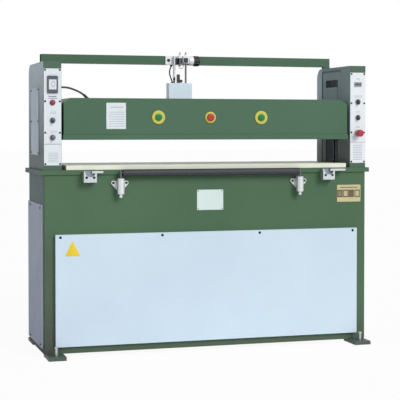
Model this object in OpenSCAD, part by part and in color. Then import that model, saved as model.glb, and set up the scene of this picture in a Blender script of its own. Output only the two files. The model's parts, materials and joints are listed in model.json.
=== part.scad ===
// Hydraulic plane cutting press: a pressing beam rides in two slotted box columns above a cutting pad.
// X runs to the operator's right, Y to the back and Z up. The origin is on the floor, under the middle.

/* [Frame] */
// Width over the two columns
frame_w = 1840; // [1740:5:1960]
// Depth of the base and of the columns
frame_d = 490; // [480:2:520]
// Height of the base box, from the foot plates to the table plate
base_h = 949; // [900:1:1000]
// Width of a square corner post
post_w = 62; // [56:1:66]
// Wall of a corner post
post_wall = 4; // [3:0.5:5]
// Radius of a corner post's outer edge
post_r = 8; // [6:0.5:9]
// Thickness of the aprons and sills
plate_t = 8; // [5:0.5:10]
// Height of the bottom sills
sill_h = 47; // [42:1:60]
// Thickness of the floor pan
pan_t = 4; // [2:0.5:6]
// Length by which a screwed cover laps over the plate behind it
cover_lap = 36; // [30:1:50]

/* [Feet] */
// Thickness of a foot plate
foot_t = 20; // [14:1:24]
// Width of a foot plate
foot_w = 94; // [80:1:100]
// Distance from the outer side of the column to the foot plate
foot_inset = 8; // [2:1:15]
// Length of a foot plate in front of and behind the base
foot_out = 100; // [85:1:110]
// Distance of a levelling bolt from the base
bolt_out = 60; // [40:1:70]
// Diameter of a levelling bolt
bolt_d = 12; // [10:1:16]
// Height of a levelling bolt above the floor
bolt_h = 69; // [57:1:77]
// Width over the corners of a levelling bolt's head
bolt_head_d = 19; // [17:1:24]
// Height of a levelling bolt's head
bolt_head_h = 9; // [6:1:12]

/* [Table and pad] */
// Thickness of the table plate
table_t = 25; // [18:1:30]
// Overhang of the table plate to the left and the right
table_over = 20; // [10:1:30]
// Overhang of the table plate to the front and the back
table_lip = 8; // [4:1:10]
// Gap between the cutting pad and each column
pad_gap = 24; // [15:1:60]
// Overhang of the cutting pad in front of and behind the base
pad_over = 5; // [0:1:5]
// Thickness of the cutting pad
pad_t = 25; // [15:1:35]

/* [Columns] */
// Width of a column
column_w = 96; // [92:1:104]
// Height of a column above the table plate
column_h = 575; // [565:1:620]
// Plate thickness of a column
column_wall = 8; // [6:0.5:8]
// Radius of the top rear corner
column_round = 60; // [30:1:62]
// Middle of the slot, behind the middle of the column
slot_y = 22; // [18:1:26]
// Width of the slot
slot_w = 180; // [170:1:186]
// Height of the slot's lower end above the table plate
slot_low = 20; // [12:1:22]
// Distance of the slot's upper end from the column's top
slot_high = 72; // [60:1:75]
// Margin of the sunk panel around the slot
recess_margin = 54; // [30:1:60]
// Depth of the sunk panel
recess_t = 2.5; // [1:0.5:3]
// Corner radius of the sunk panel
recess_r = 22; // [10:1:28]
// Width of the outer side cover
side_plate_w = 250; // [220:1:270]
// Height of the outer side cover
side_plate_h = 363; // [330:1:380]
// Height of the outer side cover's lower edge above the table plate
side_plate_low = 78; // [60:1:90]
// Thickness of the outer side cover
side_plate_t = 3; // [2:0.5:4]

/* [Beam] */
// Daylight between the pad and the press plate
daylight = 135; // [133:1:150]
// Height of the beam with its press plate
beam_h = 223; // [215:1:230]
// Gap between the beam's end and the column
beam_gap = 12; // [10:1:16]
// Distance of the beam's front and back from the columns' front and back
beam_inset = 5; // [5:1:15]
// Wall of the beam's shell
beam_wall = 12; // [8:1:14]
// Length of the cut corner along the beam's top
beam_cut_x = 39; // [20:1:50]
// Height of the cut corner at the beam's end
beam_cut_z = 27; // [15:1:40]
// Thickness of the press plate
press_t = 28; // [20:1:32]
// Distance by which the press plate stands out around the shell
press_lip = 4; // [2:0.5:5]
// Play of a slider in its slot
slide_play = 0.3; // [0.2:0.05:0.5]
// Height of a slider above the beam's top
slider_up = 78; // [70:1:78]
// Distance by which a slider's block is wider than its slot, on each side
slider_lap = 9; // [6:1:12]

/* [Buttons on the beam] */
// Distance of a green button from the middle
button_x = 294; // [200:1:400]
// Height of the buttons above the beam's underside
button_z = 121; // [100:1:130]
// Diameter of a green button
green_d = 38; // [32:1:42]
// Diameter of a green button's ring
green_ring_d = 74; // [66:1:80]
// Diameter of the red button
red_d = 42; // [36:1:44]
// Diameter of the red button's ring
red_ring_d = 62; // [56:1:70]
// Thickness of a ring
ring_t = 6; // [4:0.5:8]
// Height of a button above its ring
button_up = 8; // [7:0.5:12]
// Radial play of every running fit
fit = 0.08; // [0.05:0.01:0.1]

/* [Covers] */
// Distance of the front cover from the outer side of the base
cover_inset = 59; // [40:1:60]
// Height of the front cover's lower edge above the floor
cover_low = 58; // [55:1:62]
// Height of the front cover
cover_h = 595; // [560:1:620]
// Depth of the front cover's folded edge
cover_d = 20; // [12:1:25]
// Sheet thickness of the covers
sheet_t = 2; // [1.5:0.25:3]
// Distance of the front cover's screws from its upper edge
cover_screw_z = 14; // [11:1:20]
// Distance of the outer screws from the front cover's side
cover_screw_x = 26; // [20:1:60]
// Height of a side cover's upper edge above the floor
side_cover_top = 810; // [787:1:827]
// Distance of a side cover's front edge from the base's front
side_cover_front = 33; // [28:1:36]
// Depth of a side cover's folded edge
side_cover_d = 7; // [5:1:12]
// Diameter of a cover screw's head
screw_d = 10; // [8:0.5:12]
// Height of a cover screw's head
screw_h = 3.5; // [2.5:0.5:5]
// Diameter of a cover screw's shank
shank_d = 6; // [4:0.5:6.5]

/* [Control panels] */
// Width of a control panel
panel_w = 92; // [88:1:92]
// Height of a control panel
panel_h = 510; // [490:1:520]
// Height of a control panel's lower edge above the table plate
panel_low = 26; // [20:1:30]
// Thickness of a control panel
panel_t = 4; // [3:0.5:6]
// Distance of the panel screws from the panel's edges
panel_screw_in = 7; // [7:0.5:8]
// Width of the timer's bezel
timer_w = 56; // [50:1:60]
// Height of the timer's bezel
timer_h = 92; // [80:1:96]
// Thickness of the timer's bezel in front of the panel
timer_t = 8; // [6:1:12]
// Width of the timer's screen
screen_w = 41; // [35:1:44]
// Height of the timer's screen
screen_h = 53; // [45:1:60]
// Height of the timer's middle above the table plate
timer_z = 452; // [445:1:460]
// Height of the lamp above the table plate
lamp_z = 357; // [350:1:362]
// Diameter of the lamp's bezel
lamp_d = 30; // [26:1:32]
// Diameter of a selector knob
knob_d = 30; // [26:1:34]
// Length of a selector knob
knob_l = 17; // [14:1:20]
// Heights of the left panel's knobs above the table plate
left_knobs_z = [263, 173];
// Heights of the right panel's knobs above the table plate
right_knobs_z = [371, 282];
// Diameter of a knob's spindle
spindle_d = 10; // [8:1:14]
// Width of the counter's window
counter_w = 42; // [36:1:46]
// Height of the counter's window
counter_h = 24; // [18:1:28]
// Height of the counter above the table plate
counter_z = 470; // [450:1:480]
// Height of the emergency stop above the table plate
stop_z = 194; // [180:1:205]
// Diameter of the emergency stop's mushroom
stop_d = 40; // [36:1:44]
// Distance of the mushroom's face from the panel
stop_l = 46; // [42:1:50]
// Diameter of the emergency stop's stem
stop_stem_d = 18; // [14:1:20]

/* [Top bar and setting device] */
// Width and height of the square cross bar
bar_w = 50; // [40:1:50]
// Wall of the cross bar
bar_wall = 3; // [2:0.5:5]
// Distance of the cross bar's end from the outer side of the column
bar_inset = 55; // [45:1:65]
// Distance of the cross bar's front from the middle
bar_y = 150; // [146:1:154]
// Height of the plates under the cross bar
bar_mount_t = 11; // [8:1:14]
// Left side of the setting box
box_x = -148; // [-160:1:-142]
// Width of the setting box
box_w = 136; // [132:1:145]
// Depth of the setting box
box_d = 60; // [55:1:62]
// Height of the setting box
box_h = 96; // [85:1:98]
// Distance of the setting rod's axis in front of the cross bar
rod_out = 45; // [44:1:50]
// Position of the setting rod along the bar
rod_x = -41; // [-44:1:-38]
// Diameter of the setting rod
rod_d = 11; // [8:0.5:12]
// Height of the rod's tip above the cross bar
rod_up = 24; // [15:1:30]
// Position of the trip pin along the bar
pin_x = -75; // [-78:1:-74]
// Diameter of the trip pin
pin_d = 9; // [7:0.5:10]
// Diameter of the lock knob
lock_d = 60; // [50:1:64]
// Length of the lock knob
lock_l = 36; // [30:1:40]
// Diameter of the lock knob's stem
lock_stem_d = 10; // [8:1:12]

/* [Feed roller] */
// Diameter of the roller
roller_d = 37; // [30:1:38]
// Distance of a lift cylinder's axis from the outer side of the base
lift_in = 409; // [400:1:440]
// Distance of the lift axis in front of the base
lift_out = 32; // [30:1:36]
// Height of the roller's axis below the table plate's top
roller_drop = 16; // [12:1:20]
// Diameter of a lift cylinder
lift_d = 41; // [36:1:44]
// Height of a lift cylinder
lift_h = 83; // [78:1:90]
// Distance of a lift cylinder's top below the table plate's top
lift_drop = 46; // [44:1:55]
// Diameter of a lift rod
lift_rod_d = 16; // [12:1:18]
// Diameter of the roller's axle
axle_d = 14; // [10:1:16]
// Distance of an ear's bolt from the lift axis
ear_x = 36; // [34:1:42]
// Distance of a pad guide bracket from the outer side of the base
guide_in = 241; // [230:1:260]
// Width of a pad guide bracket
guide_w = 70; // [60:1:76]
// Height of a pad guide bracket
guide_h = 60; // [52:1:64]
// Depth of a pad guide bracket
guide_d = 48; // [40:1:52]
// Diameter of the head of a bolt on the lift cylinders and guide brackets
bracket_head_d = 14; // [11:0.5:15]

/* [Hydraulics] */
// Diameter of a piston rod
piston_rod_d = 40; // [32:1:44]
// Bore of a press cylinder
cylinder_bore = 63; // [56:1:64]
// Wall of a press cylinder
cylinder_wall = 6.5; // [5:0.5:7]
// Length of a press cylinder
cylinder_l = 345; // [330:1:360]
// Thickness of a piston
piston_t = 32; // [24:1:40]
// Tooth module of the racks and pinions
tooth_module = 4; // [3.8:0.05:4.2]
// Number of teeth on a pinion
pinion_teeth = 16; // [15:1:17]
// Play between the teeth
backlash = 0.6; // [0.4:0.05:0.8]
// Width of a rack
rack_w = 30; // [24:1:32]
// Diameter of the synchronising shaft
shaft_d = 30; // [24:1:32]
// Distance of the shaft's axis below the table plate
shaft_drop = 82; // [78:1:90]
// Width of the oil tank
tank_w = 620; // [500:5:700]
// Depth of the oil tank
tank_d = 320; // [280:2:340]
// Height of the oil tank
tank_h = 300; // [250:2:320]
// Diameter of the pump motor
motor_d = 180; // [150:1:190]
// Length of the pump motor
motor_l = 290; // [250:1:320]

/* [Hidden] */

$fn = 48;
// Overlap of cutting tools and of joined shapes
eps = 0.5;
// Small edge break
edge = 1;

// Heights
table_z = foot_t + base_h;
table_top = table_z + table_t;
pad_top = table_top + pad_t;
beam_z = pad_top + daylight;
shell_z = beam_z + press_t;
beam_top = beam_z + beam_h;
column_top = table_top + column_h;
cover_top = cover_low + cover_h;
bar_z = column_top + bar_mount_t;
bar_top = bar_z + bar_w;

// Widths and depths
half_w = frame_w / 2;
half_d = frame_d / 2;
front_y = -half_d;
column_in = half_w - column_w;
column_x = half_w - column_w / 2;
beam_half = column_in - beam_gap;
pad_half = column_in - pad_gap;
pad_y = half_d + pad_over;
beam_front = front_y + beam_inset;
lift_x = half_w - lift_in;
guide_x = half_w - guide_in;
cover_half = half_w - cover_inset;
foot_x = half_w - foot_inset - foot_w / 2;
panel_y = front_y - panel_t;

// Travel of the beam and the slot's ends
slot_z = table_top + slot_low;
slot_top = column_top - slot_high;
slot_r = recess_r / 2;
slider_rise = 4;
slider_z = beam_z + slider_rise;
slider_top = beam_top + slider_up;

// Setting device
rod_y = bar_y - rod_out;
lock_rise = -5;
lock_z = bar_z + bar_w / 2 + lock_rise;
bracket_t = 6;
bracket_front = bar_y - bracket_t;
bracket_bolt_in = 16;
clamp_half = 19;
clamp_out = 20;
clamp_y = rod_y - clamp_out;
hub_l = 24;
hub_d = 52;
pin_lug_half = 10;
box_top = beam_top + box_h;

// Teeth
pitch_r = tooth_module * pinion_teeth / 2;
tip_r = pitch_r + tooth_module;
dedendum = 1.25 * tooth_module;
root_r = pitch_r - dedendum;
pressure_angle = 20;
base_r = pitch_r * cos(pressure_angle);
tooth_pitch = PI * tooth_module;
rack_back = 18;
rack_gap = 6;
rack_y = slot_y + cylinder_bore / 2 + cylinder_wall + rack_gap;
pitch_y = rack_y + rack_back;
shaft_y = pitch_y + pitch_r;
shaft_z = table_z - shaft_drop;
bearing_w = 30;
bearing_gap = 5;
bearing_x = column_x - rack_w / 2 - bearing_gap - bearing_w;

// Cord routes, chosen by hand
gland_d = 15;
gland_l = 8;
conduit_d = 11;
conduit_from_column = [[8, -150, 58], [34, -150, 58], [62, -150, 54], [89, -150, 45],
    [116, -150, 33], [139, -150, 19]];
conduit_route = [for (p = conduit_from_column) [-column_in, 0, beam_top] + p];
slant = [20, 0, -19];
slant_in = 147;
switch_cable_d = 8;
switch_cable_from_rod = [[-71, 55, -8], [-81, 47, -27], [-87, 30, -53], [-84, 10, -81],
    [-80, 0, -102]];
switch_cable_route = [for (p = switch_cable_from_rod) [rod_x, rod_y, bar_z] + p];
trip_wire_d = 3;
trip_wire_from_pin = [[0, 25, 2], [0, 24, -11], [5, 17, -21], [13, 7, -22], [19, -1, -11], [21, -5, 7]];
trip_wire_route = [for (p = trip_wire_from_pin) [pin_x, rod_y, bar_z] + p];

body_green = "#4c6f58";
cover_blue = "#cfdcea";
panel_white = "#eceef0";
dark = "#26282b";
steel = "#b8bcc0";

// Shared shapes
module block(from, to) {
    translate(from) cube(to - from);
}

module both_sides() {
    children();
    mirror([1, 0, 0]) children();
}

module four_corners() {
    both_sides() {
        children();
        mirror([0, 1, 0]) children();
    }
}

// Turns a shape drawn along +Z to face the operator
module facing_front(x, y, z) {
    translate([x, y, z]) rotate([90, 0, 0]) children();
}

module rounded_square(size, r) {
    translate([r, 0]) square([size.x - 2 * r, size.y]);
    translate([0, r]) square([size.x, size.y - 2 * r]);
    for (cx = [r, size.x - r], cy = [r, size.y - r]) translate([cx, cy]) circle(r);
}

// Extrudes an outline in Y and Z along X
module along_x(x0, x1) {
    translate([x0, 0, 0]) rotate([90, 0, 90]) linear_extrude(x1 - x0) children();
}

// Extrudes an outline in X and Z along Y
module along_y(y0, y1) {
    translate([0, y1, 0]) rotate([90, 0, 0]) linear_extrude(y1 - y0) children();
}

// Quarter round of a turned shape's outline, from [r, z - h] up and in to [r - w, z]
function round_over(r, z, w, h) = [for (a = [0:18:90]) [r - w + w * cos(a), z - h + h * sin(a)]];

// Domed screw along +Z, with its seat at z = 0
module screw(length, head_d = screw_d) {
    rim = 0.4 * screw_h;
    shank = [[0, -length], [shank_d / 2, -length], [shank_d / 2, 0], [head_d / 2, 0]];
    head = round_over(head_d / 2, screw_h, head_d / 4, screw_h - rim);
    rotate_extrude() polygon(concat(shank, head, [[0, screw_h]]));
}

module screw_hole(length) {
    translate([0, 0, -length]) cylinder(d = shank_d + 2 * fit, h = length + eps);
}

// Places of the fasteners
screw_l = 12;
panel_screw_x = [-1, 1] * (panel_w / 2 - panel_screw_in);
panel_screw_z = [for (row = [0:3]) table_top + panel_low + panel_screw_in
    + row * (panel_h - 2 * panel_screw_in) / 3];
cover_screw_xs = [for (i = [0:3]) (cover_half - cover_screw_x) * (2 * i / 3 - 1)];
side_cover_back = post_r + edge;
side_cover_drop = 10;
side_cover_y0 = front_y + side_cover_front;
side_cover_y1 = half_d - side_cover_back;
side_cover_z0 = cover_low - side_cover_drop;
side_screw_in = 18;
side_screw_front = 40;
side_screw_low = 16;
side_screw_y = [side_cover_y0 + side_screw_front, side_cover_y1 - side_screw_in - post_w];
side_screw_z = [side_cover_z0 + side_screw_low, side_cover_top - side_screw_in];
side_plate_y0 = slot_y - side_plate_w / 2;
side_plate_z0 = table_top + side_plate_low;
side_plate_screw_in = 12;

module at_panel_screws(side) {
    for (dx = panel_screw_x, z = panel_screw_z) facing_front(side * column_x + dx, panel_y, z) children();
}

module at_front_cover_screws() {
    for (x = cover_screw_xs) facing_front(x, front_y - cover_d, cover_top - cover_screw_z) children();
}

module at_rear_cover_screws() {
    for (x = cover_screw_xs) {
        translate([x, half_d + sheet_t, cover_top - cover_screw_z]) rotate([-90, 0, 0]) children();
    }
}

module at_side_cover_screws() {
    for (y = side_screw_y, z = side_screw_z) {
        translate([half_w + side_cover_d, y, z]) rotate([0, 90, 0]) children();
    }
}

module at_side_plate_screws() {
    for (y = [side_plate_screw_in, side_plate_w - side_plate_screw_in], row = [0:2]) {
        translate([half_w + side_plate_t, side_plate_y0 + y,
            side_plate_z0 + side_plate_screw_in + row * (side_plate_h / 2 - side_plate_screw_in)])
            rotate([0, 90, 0]) children();
    }
}

// Base
module foot_plates() {
    color(body_green) four_corners() difference() {
        block([foot_x - foot_w / 2, half_d - post_w, 0], [foot_x + foot_w / 2, half_d + foot_out, foot_t]);
        translate([foot_x, half_d + bolt_out, -eps]) cylinder(d = bolt_d + 2 * fit, h = foot_t + 2 * eps);
    }
}

module levelling_bolts() {
    color(steel) four_corners() translate([foot_x, half_d + bolt_out, 0]) {
        cylinder(d = bolt_d, h = bolt_h);
        translate([0, 0, bolt_h - bolt_head_h]) cylinder(d = bolt_head_d, h = bolt_head_h, $fn = 6);
    }
}

module post_outline() {
    flat = post_w - post_r;
    square([post_w, flat]);
    square([flat, post_w]);
    translate([flat, flat]) circle(post_r);
}

module corner_posts() {
    color(body_green) four_corners() difference() {
        translate([half_w - post_w, half_d - post_w, foot_t]) linear_extrude(base_h) post_outline();
        block([half_w - post_w + post_wall, half_d - post_w + post_wall, foot_t - eps],
            [half_w - post_wall, half_d - post_wall, table_z + eps]);
    }
}

module base_sills() {
    inner_x = half_w - post_w;
    inner_y = half_d - post_w;
    color(body_green) {
        for (side = [0, 1]) mirror([0, side, 0]) {
            block([-inner_x, -half_d, foot_t], [inner_x, -half_d + plate_t, foot_t + sill_h]);
        }
        both_sides() difference() {
            block([half_w - plate_t, -inner_y, foot_t], [half_w, inner_y, foot_t + sill_h]);
            at_side_cover_screws() screw_hole(screw_l + side_cover_d);
        }
    }
}

module floor_pan() {
    inner_x = half_w - plate_t;
    inner_y = half_d - plate_t;
    color(body_green) difference() {
        block([-inner_x, -inner_y, foot_t], [inner_x, inner_y, foot_t + pan_t]);
        four_corners() block([half_w - post_w, half_d - post_w, 0], [half_w, half_d, foot_t + 2 * pan_t]);
    }
}

module base_aprons() {
    inner_x = half_w - post_w;
    inner_y = half_d - post_w;
    color(body_green) {
        difference() {
            block([-inner_x, -half_d, cover_top - cover_lap], [inner_x, -half_d + plate_t, table_z]);
            at_front_cover_screws() screw_hole(cover_d + screw_l);
            at_bracket_bolts() screw_hole(guide_d + screw_l);
        }
        difference() {
            block([-inner_x, half_d - plate_t, cover_top - cover_lap], [inner_x, half_d, table_z]);
            at_rear_cover_screws() screw_hole(sheet_t + screw_l);
        }
        both_sides() difference() {
            block([half_w - plate_t, -inner_y, side_cover_top - cover_lap], [half_w, inner_y, table_z]);
            at_side_cover_screws() screw_hole(screw_l + side_cover_d);
        }
    }
}

module table_plate() {
    rack_room = 5;
    color(body_green) difference() {
        block([-half_w - table_over, -half_d - table_lip, table_z],
            [half_w + table_over, half_d + table_lip, table_top]);
        both_sides() {
            translate([column_x, slot_y, table_z - eps])
                cylinder(d = piston_rod_d + 2 * rack_room, h = table_t + 2 * eps);
            block([column_x - rack_w / 2 - rack_room, rack_y - rack_room / 2, table_z - eps],
                [column_x + rack_w / 2 + rack_room, pitch_y + tooth_module + rack_room, table_top + eps]);
        }
    }
}

module cutting_pad() {
    color("#e6e6cf") block([-pad_half, -pad_y, table_top], [pad_half, pad_y, pad_top]);
}

// Covers
module front_cover() {
    color(cover_blue) difference() {
        block([-cover_half, front_y - cover_d, cover_low], [cover_half, front_y, cover_top]);
        block([-cover_half + sheet_t, front_y - cover_d + sheet_t, cover_low + sheet_t],
            [cover_half - sheet_t, front_y + eps, cover_top - sheet_t]);
        at_front_cover_screws() screw_hole(2 * sheet_t);
    }
}

module side_covers() {
    color("#aab4ba") both_sides() difference() {
        block([half_w, side_cover_y0, side_cover_z0], [half_w + side_cover_d, side_cover_y1, side_cover_top]);
        block([half_w - eps, side_cover_y0 + sheet_t, side_cover_z0 + sheet_t],
            [half_w + side_cover_d - sheet_t, side_cover_y1 - sheet_t, side_cover_top - sheet_t]);
        at_side_cover_screws() screw_hole(2 * sheet_t);
    }
}

module rear_cover() {
    color(cover_blue) difference() {
        block([-cover_half, half_d, cover_low], [cover_half, half_d + sheet_t, cover_top]);
        at_rear_cover_screws() screw_hole(2 * sheet_t);
    }
}

module cover_screws() {
    color(dark) {
        at_front_cover_screws() screw(cover_d + plate_t);
        at_rear_cover_screws() screw(sheet_t + plate_t);
        both_sides() {
            at_side_cover_screws() screw(side_cover_d + plate_t);
            at_side_plate_screws() screw(side_plate_t + column_wall);
        }
        for (side = [-1, 1]) at_panel_screws(side) screw(panel_t + column_wall);
    }
}

// Columns
module column_outline(inset) {
    r = column_round - inset;
    translate([-half_d + inset, table_top]) {
        square([frame_d - 2 * inset, column_h - column_round]);
        square([frame_d - inset - column_round, column_h - inset]);
        translate([frame_d - inset - column_round, column_h - column_round]) circle(r);
    }
}

module slot_outline(margin, r) {
    low_margin = min(margin, slot_low - recess_t);
    translate([slot_y - slot_w / 2 - margin, slot_z - low_margin])
        rounded_square([slot_w + 2 * margin, slot_top - slot_z + margin + low_margin], r);
}

module column() {
    window_w = panel_w - 4 * panel_screw_in;
    window_in = 2 * panel_screw_in;
    window_z = table_top + panel_low + window_in;
    window_h = panel_h - 2 * window_in;
    difference() {
        along_x(column_in, half_w) column_outline(0);
        along_x(column_in + column_wall, half_w - column_wall) column_outline(column_wall);
        block([column_in + column_wall, -half_d + column_wall, table_top - eps],
            [half_w - column_wall, half_d - column_wall, table_top + eps]);
        along_x(column_in - eps, column_in + recess_t) slot_outline(recess_margin, recess_r);
        along_x(column_in - eps, column_in + 2 * column_wall) slot_outline(0, slot_r);
        block([column_x - window_w / 2, front_y - eps, window_z],
            [column_x + window_w / 2, front_y + 2 * column_wall, window_z + window_h]);
        at_panel_screws(1) screw_hole(panel_t + 2 * column_wall);
        at_side_plate_screws() screw_hole(side_plate_t + 2 * column_wall);
    }
}

module left_column() {
    color(body_green) mirror([1, 0, 0]) column();
}

module right_column() {
    color(body_green) column();
}

module column_side_plates() {
    color("#aab4ba") both_sides() difference() {
        block([half_w, side_plate_y0, side_plate_z0],
            [half_w + side_plate_t, side_plate_y0 + side_plate_w, side_plate_z0 + side_plate_h]);
        at_side_plate_screws() screw_hole(2 * side_plate_t);
    }
}

// Control panels
module panel_sheet(side) {
    difference() {
        block([side * column_x - panel_w / 2, panel_y, table_top + panel_low],
            [side * column_x + panel_w / 2, front_y, table_top + panel_low + panel_h]);
        at_panel_screws(side) screw_hole(2 * panel_t);
        children();
    }
}

module panel_hole(side, z, d) {
    facing_front(side * column_x, front_y + eps, table_top + z) cylinder(d = d, h = panel_t + 2 * eps);
}

module left_control_panel() {
    color(panel_white) panel_sheet(-1) {
        for (z = left_knobs_z) panel_hole(-1, z, spindle_d + 2 * fit);
        panel_hole(-1, lamp_z, lamp_neck_d + 2 * fit);
        block([-column_x - screen_w / 2, panel_y - eps, table_top + timer_z - screen_h / 2],
            [-column_x + screen_w / 2, front_y + eps, table_top + timer_z + screen_h / 2]);
    }
}

module right_control_panel() {
    color(panel_white) panel_sheet(1) {
        for (z = right_knobs_z) panel_hole(1, z, spindle_d + 2 * fit);
        panel_hole(1, stop_z, stop_stem_d + 2 * collar_wall + 2 * fit);
    }
}

screen_sink = 3;

module timer_bezel() {
    z = table_top + timer_z;
    bezel_r = 4;
    color(dark) difference() {
        along_y(panel_y - timer_t, panel_y) translate([-column_x - timer_w / 2, z - timer_h / 2])
            rounded_square([timer_w, timer_h], bezel_r);
        block([-column_x - screen_w / 2, panel_y - timer_t - eps, z - screen_h / 2],
            [-column_x + screen_w / 2, panel_y - timer_t + screen_sink, z + screen_h / 2]);
    }
}

module timer_screen() {
    z = table_top + timer_z;
    front = panel_y - timer_t + screen_sink;
    color("white") block([-column_x - screen_w / 2, front - screen_sink / 2, z - screen_h / 2],
        [-column_x + screen_w / 2, front, z + screen_h / 2]);
}

lamp_neck_d = 22;

// Lamp along the panel's normal: bezel, then a domed lens
module power_lamp() {
    bezel_t = 5;
    lens_r = lamp_d / 2 - 3;
    lens_top = 15;
    dome = 9;
    color("#c22428") facing_front(-column_x, panel_y, table_top + lamp_z) rotate_extrude()
        polygon(concat([[0, -panel_t], [lamp_neck_d / 2, -panel_t], [lamp_neck_d / 2, 0], [lamp_d / 2, 0]],
            round_over(lamp_d / 2, bezel_t, edge, edge), [[lens_r, bezel_t]],
            round_over(lens_r, lens_top, dome, dome), [[0, lens_top]]));
}

module counter_window() {
    z = table_top + counter_z;
    counter_t = 5;
    counter_r = 3;
    color(dark) along_y(panel_y - counter_t, panel_y) translate([column_x - counter_w / 2, z - counter_h / 2])
        rounded_square([counter_w, counter_h], counter_r);
}

// Selector knob along +Z with a raised grip and a spindle through the panel
module knob() {
    skirt = 5;
    grip_w = 9;
    panel_gap = 0.3;
    rotate_extrude() polygon(concat([[0, -panel_t], [spindle_d / 2, -panel_t], [spindle_d / 2, panel_gap],
        [knob_d / 2, panel_gap]], round_over(knob_d / 2, skirt, edge, edge), [[0, skirt]]));
    intersection() {
        block([-grip_w / 2, -knob_d / 2, skirt - edge], [grip_w / 2, knob_d / 2, knob_l]);
        cylinder(d = knob_d - 2 * edge, h = knob_l);
    }
}

module left_upper_knob() {
    color(dark) facing_front(-column_x, panel_y, table_top + left_knobs_z[0]) knob();
}

module left_lower_knob() {
    color("#6d7073") facing_front(-column_x, panel_y, table_top + left_knobs_z[1]) knob();
}

module right_upper_knob() {
    color(dark) facing_front(column_x, panel_y, table_top + right_knobs_z[0]) knob();
}

module right_lower_knob() {
    color(dark) facing_front(column_x, panel_y, table_top + right_knobs_z[1]) knob();
}

collar_h = 16;
collar_wall = 4;

module stop_collar() {
    rim_t = 4;
    neck_r = stop_d / 2 - 5;
    slope = 3;
    sleeve_r = stop_stem_d / 2 + collar_wall;
    bore = stop_stem_d / 2 + fit;
    color("#8d9195") facing_front(column_x, panel_y, table_top + stop_z) rotate_extrude()
        polygon([[bore, -panel_t], [sleeve_r, -panel_t], [sleeve_r, 0], [stop_d / 2, 0], [stop_d / 2, rim_t],
            [neck_r, rim_t + slope], [neck_r, collar_h], [bore, collar_h]]);
}

module stop_mushroom() {
    press_room = 7;
    head = collar_h + press_room;
    under_w = 4;
    under_h = 8;
    dome = 9;
    stem_r = stop_stem_d / 2;
    color("#c22428") facing_front(column_x, panel_y, table_top + stop_z) rotate_extrude()
        polygon(concat([[0, -panel_t], [stem_r, -panel_t], [stem_r, head], [stop_d / 2 - under_w, head],
            [stop_d / 2, head + under_h]], round_over(stop_d / 2, stop_l, dome, dome), [[0, stop_l]]));
}

// Top bar and setting device
module cross_bar() {
    bar_half = half_w - bar_inset;
    mount_w = 36;
    mount_front = 6;
    mount_y = half_d - column_round;
    color(body_green) {
        difference() {
            block([-bar_half, bar_y, bar_z], [bar_half, bar_y + bar_w, bar_top]);
            block([-bar_half - eps, bar_y + bar_wall, bar_z + bar_wall],
                [bar_half + eps, bar_y + bar_w - bar_wall, bar_top - bar_wall]);
            bracket_bolt_hole();
        }
        both_sides() block([bar_half - mount_w, bar_y - mount_front, column_top], [bar_half, mount_y, bar_z]);
    }
}

// Plate on the bar with a tongue, a clamp for the rod, a lug for the pin and a hub for the lock knob
module setting_bracket() {
    plate_over = 2;
    tongue_x = pin_x - 30;
    tongue_w = 14;
    tongue_up = 72;
    flange_t = 4;
    flange_d = 22;
    flange_drop = 60;
    clamp_rise = 7;
    clamp_drop = 2;
    lug_t = 12;
    boss_d = 20;
    boss_h = 8;
    clamp_z = bar_z + clamp_rise;
    clamp_top = bar_top - clamp_drop;
    lug_z = clamp_top - lug_t;
    color(panel_white) difference() {
        union() {
            block([box_x - plate_over, bracket_front, bar_z], [rod_x + clamp_half, bar_y, bar_top]);
            block([tongue_x, bracket_front, beam_top + tongue_up],
                [tongue_x + tongue_w, bar_y, bar_z + eps]);
            block([tongue_x, bracket_front - flange_d, bar_z - flange_drop],
                [tongue_x + flange_t, bracket_front + eps, bar_top]);
            block([rod_x - clamp_half, clamp_y, clamp_z],
                [rod_x + clamp_half, bracket_front + eps, clamp_top]);
            block([pin_x - pin_lug_half, rod_y - pin_lug_half, lug_z],
                [pin_x + pin_lug_half, bracket_front + eps, clamp_top]);
            for (x = [rod_x, pin_x]) translate([x, rod_y, clamp_top - eps])
                cylinder(d1 = boss_d, d2 = rod_d + 2 * edge, h = boss_h + eps);
            translate([rod_x + clamp_half - eps, rod_y, lock_z]) rotate([0, 90, 0])
                cylinder(d = hub_d, h = hub_l + eps);
        }
        translate([rod_x, rod_y, clamp_z - hub_d]) cylinder(d = rod_d + 2 * fit, h = bar_w + 2 * hub_d);
        translate([pin_x, rod_y, lug_z - eps]) cylinder(d = pin_d + 2 * fit, h = lug_t + boss_h + 2 * eps);
        translate([rod_x, rod_y, lock_z]) rotate([0, 90, 0])
            cylinder(d = lock_stem_d + 2 * fit, h = clamp_half + hub_l + eps);
        bracket_bolt_hole();
    }
}

// Round rod along +Z with a pointed end
module pointed_rod(d, low, tip, cone) {
    rotate_extrude() polygon([[0, low], [d / 2, low], [d / 2, tip - cone], [edge, tip], [0, tip]]);
}

// The rod's pointed end stands above the bar and its lower end reaches into the setting box
module setting_rod() {
    rod_in = 26;
    cone = 14;
    color(steel) translate([rod_x, rod_y, 0]) pointed_rod(rod_d, box_top - rod_in, bar_top + rod_up, cone);
}

module trip_pin() {
    pin_drop = 12;
    cone = 12;
    color(steel) translate([pin_x, rod_y, 0])
        pointed_rod(pin_d, bar_z - pin_drop, bar_top + rod_up - edge, cone);
}

// Stud with a hexagon collar on the setting box
module box_stud() {
    stud_x = pin_x - 34;
    stud_d = 5;
    stud_h = 38;
    collar_z = 18;
    hex_d = 12;
    hex_h = 11;
    color(steel) translate([stud_x, rod_y, box_top]) {
        cylinder(d = stud_d, h = stud_h);
        translate([0, 0, collar_z]) cylinder(d = hex_d, h = hex_h, $fn = 6);
    }
}

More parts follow.
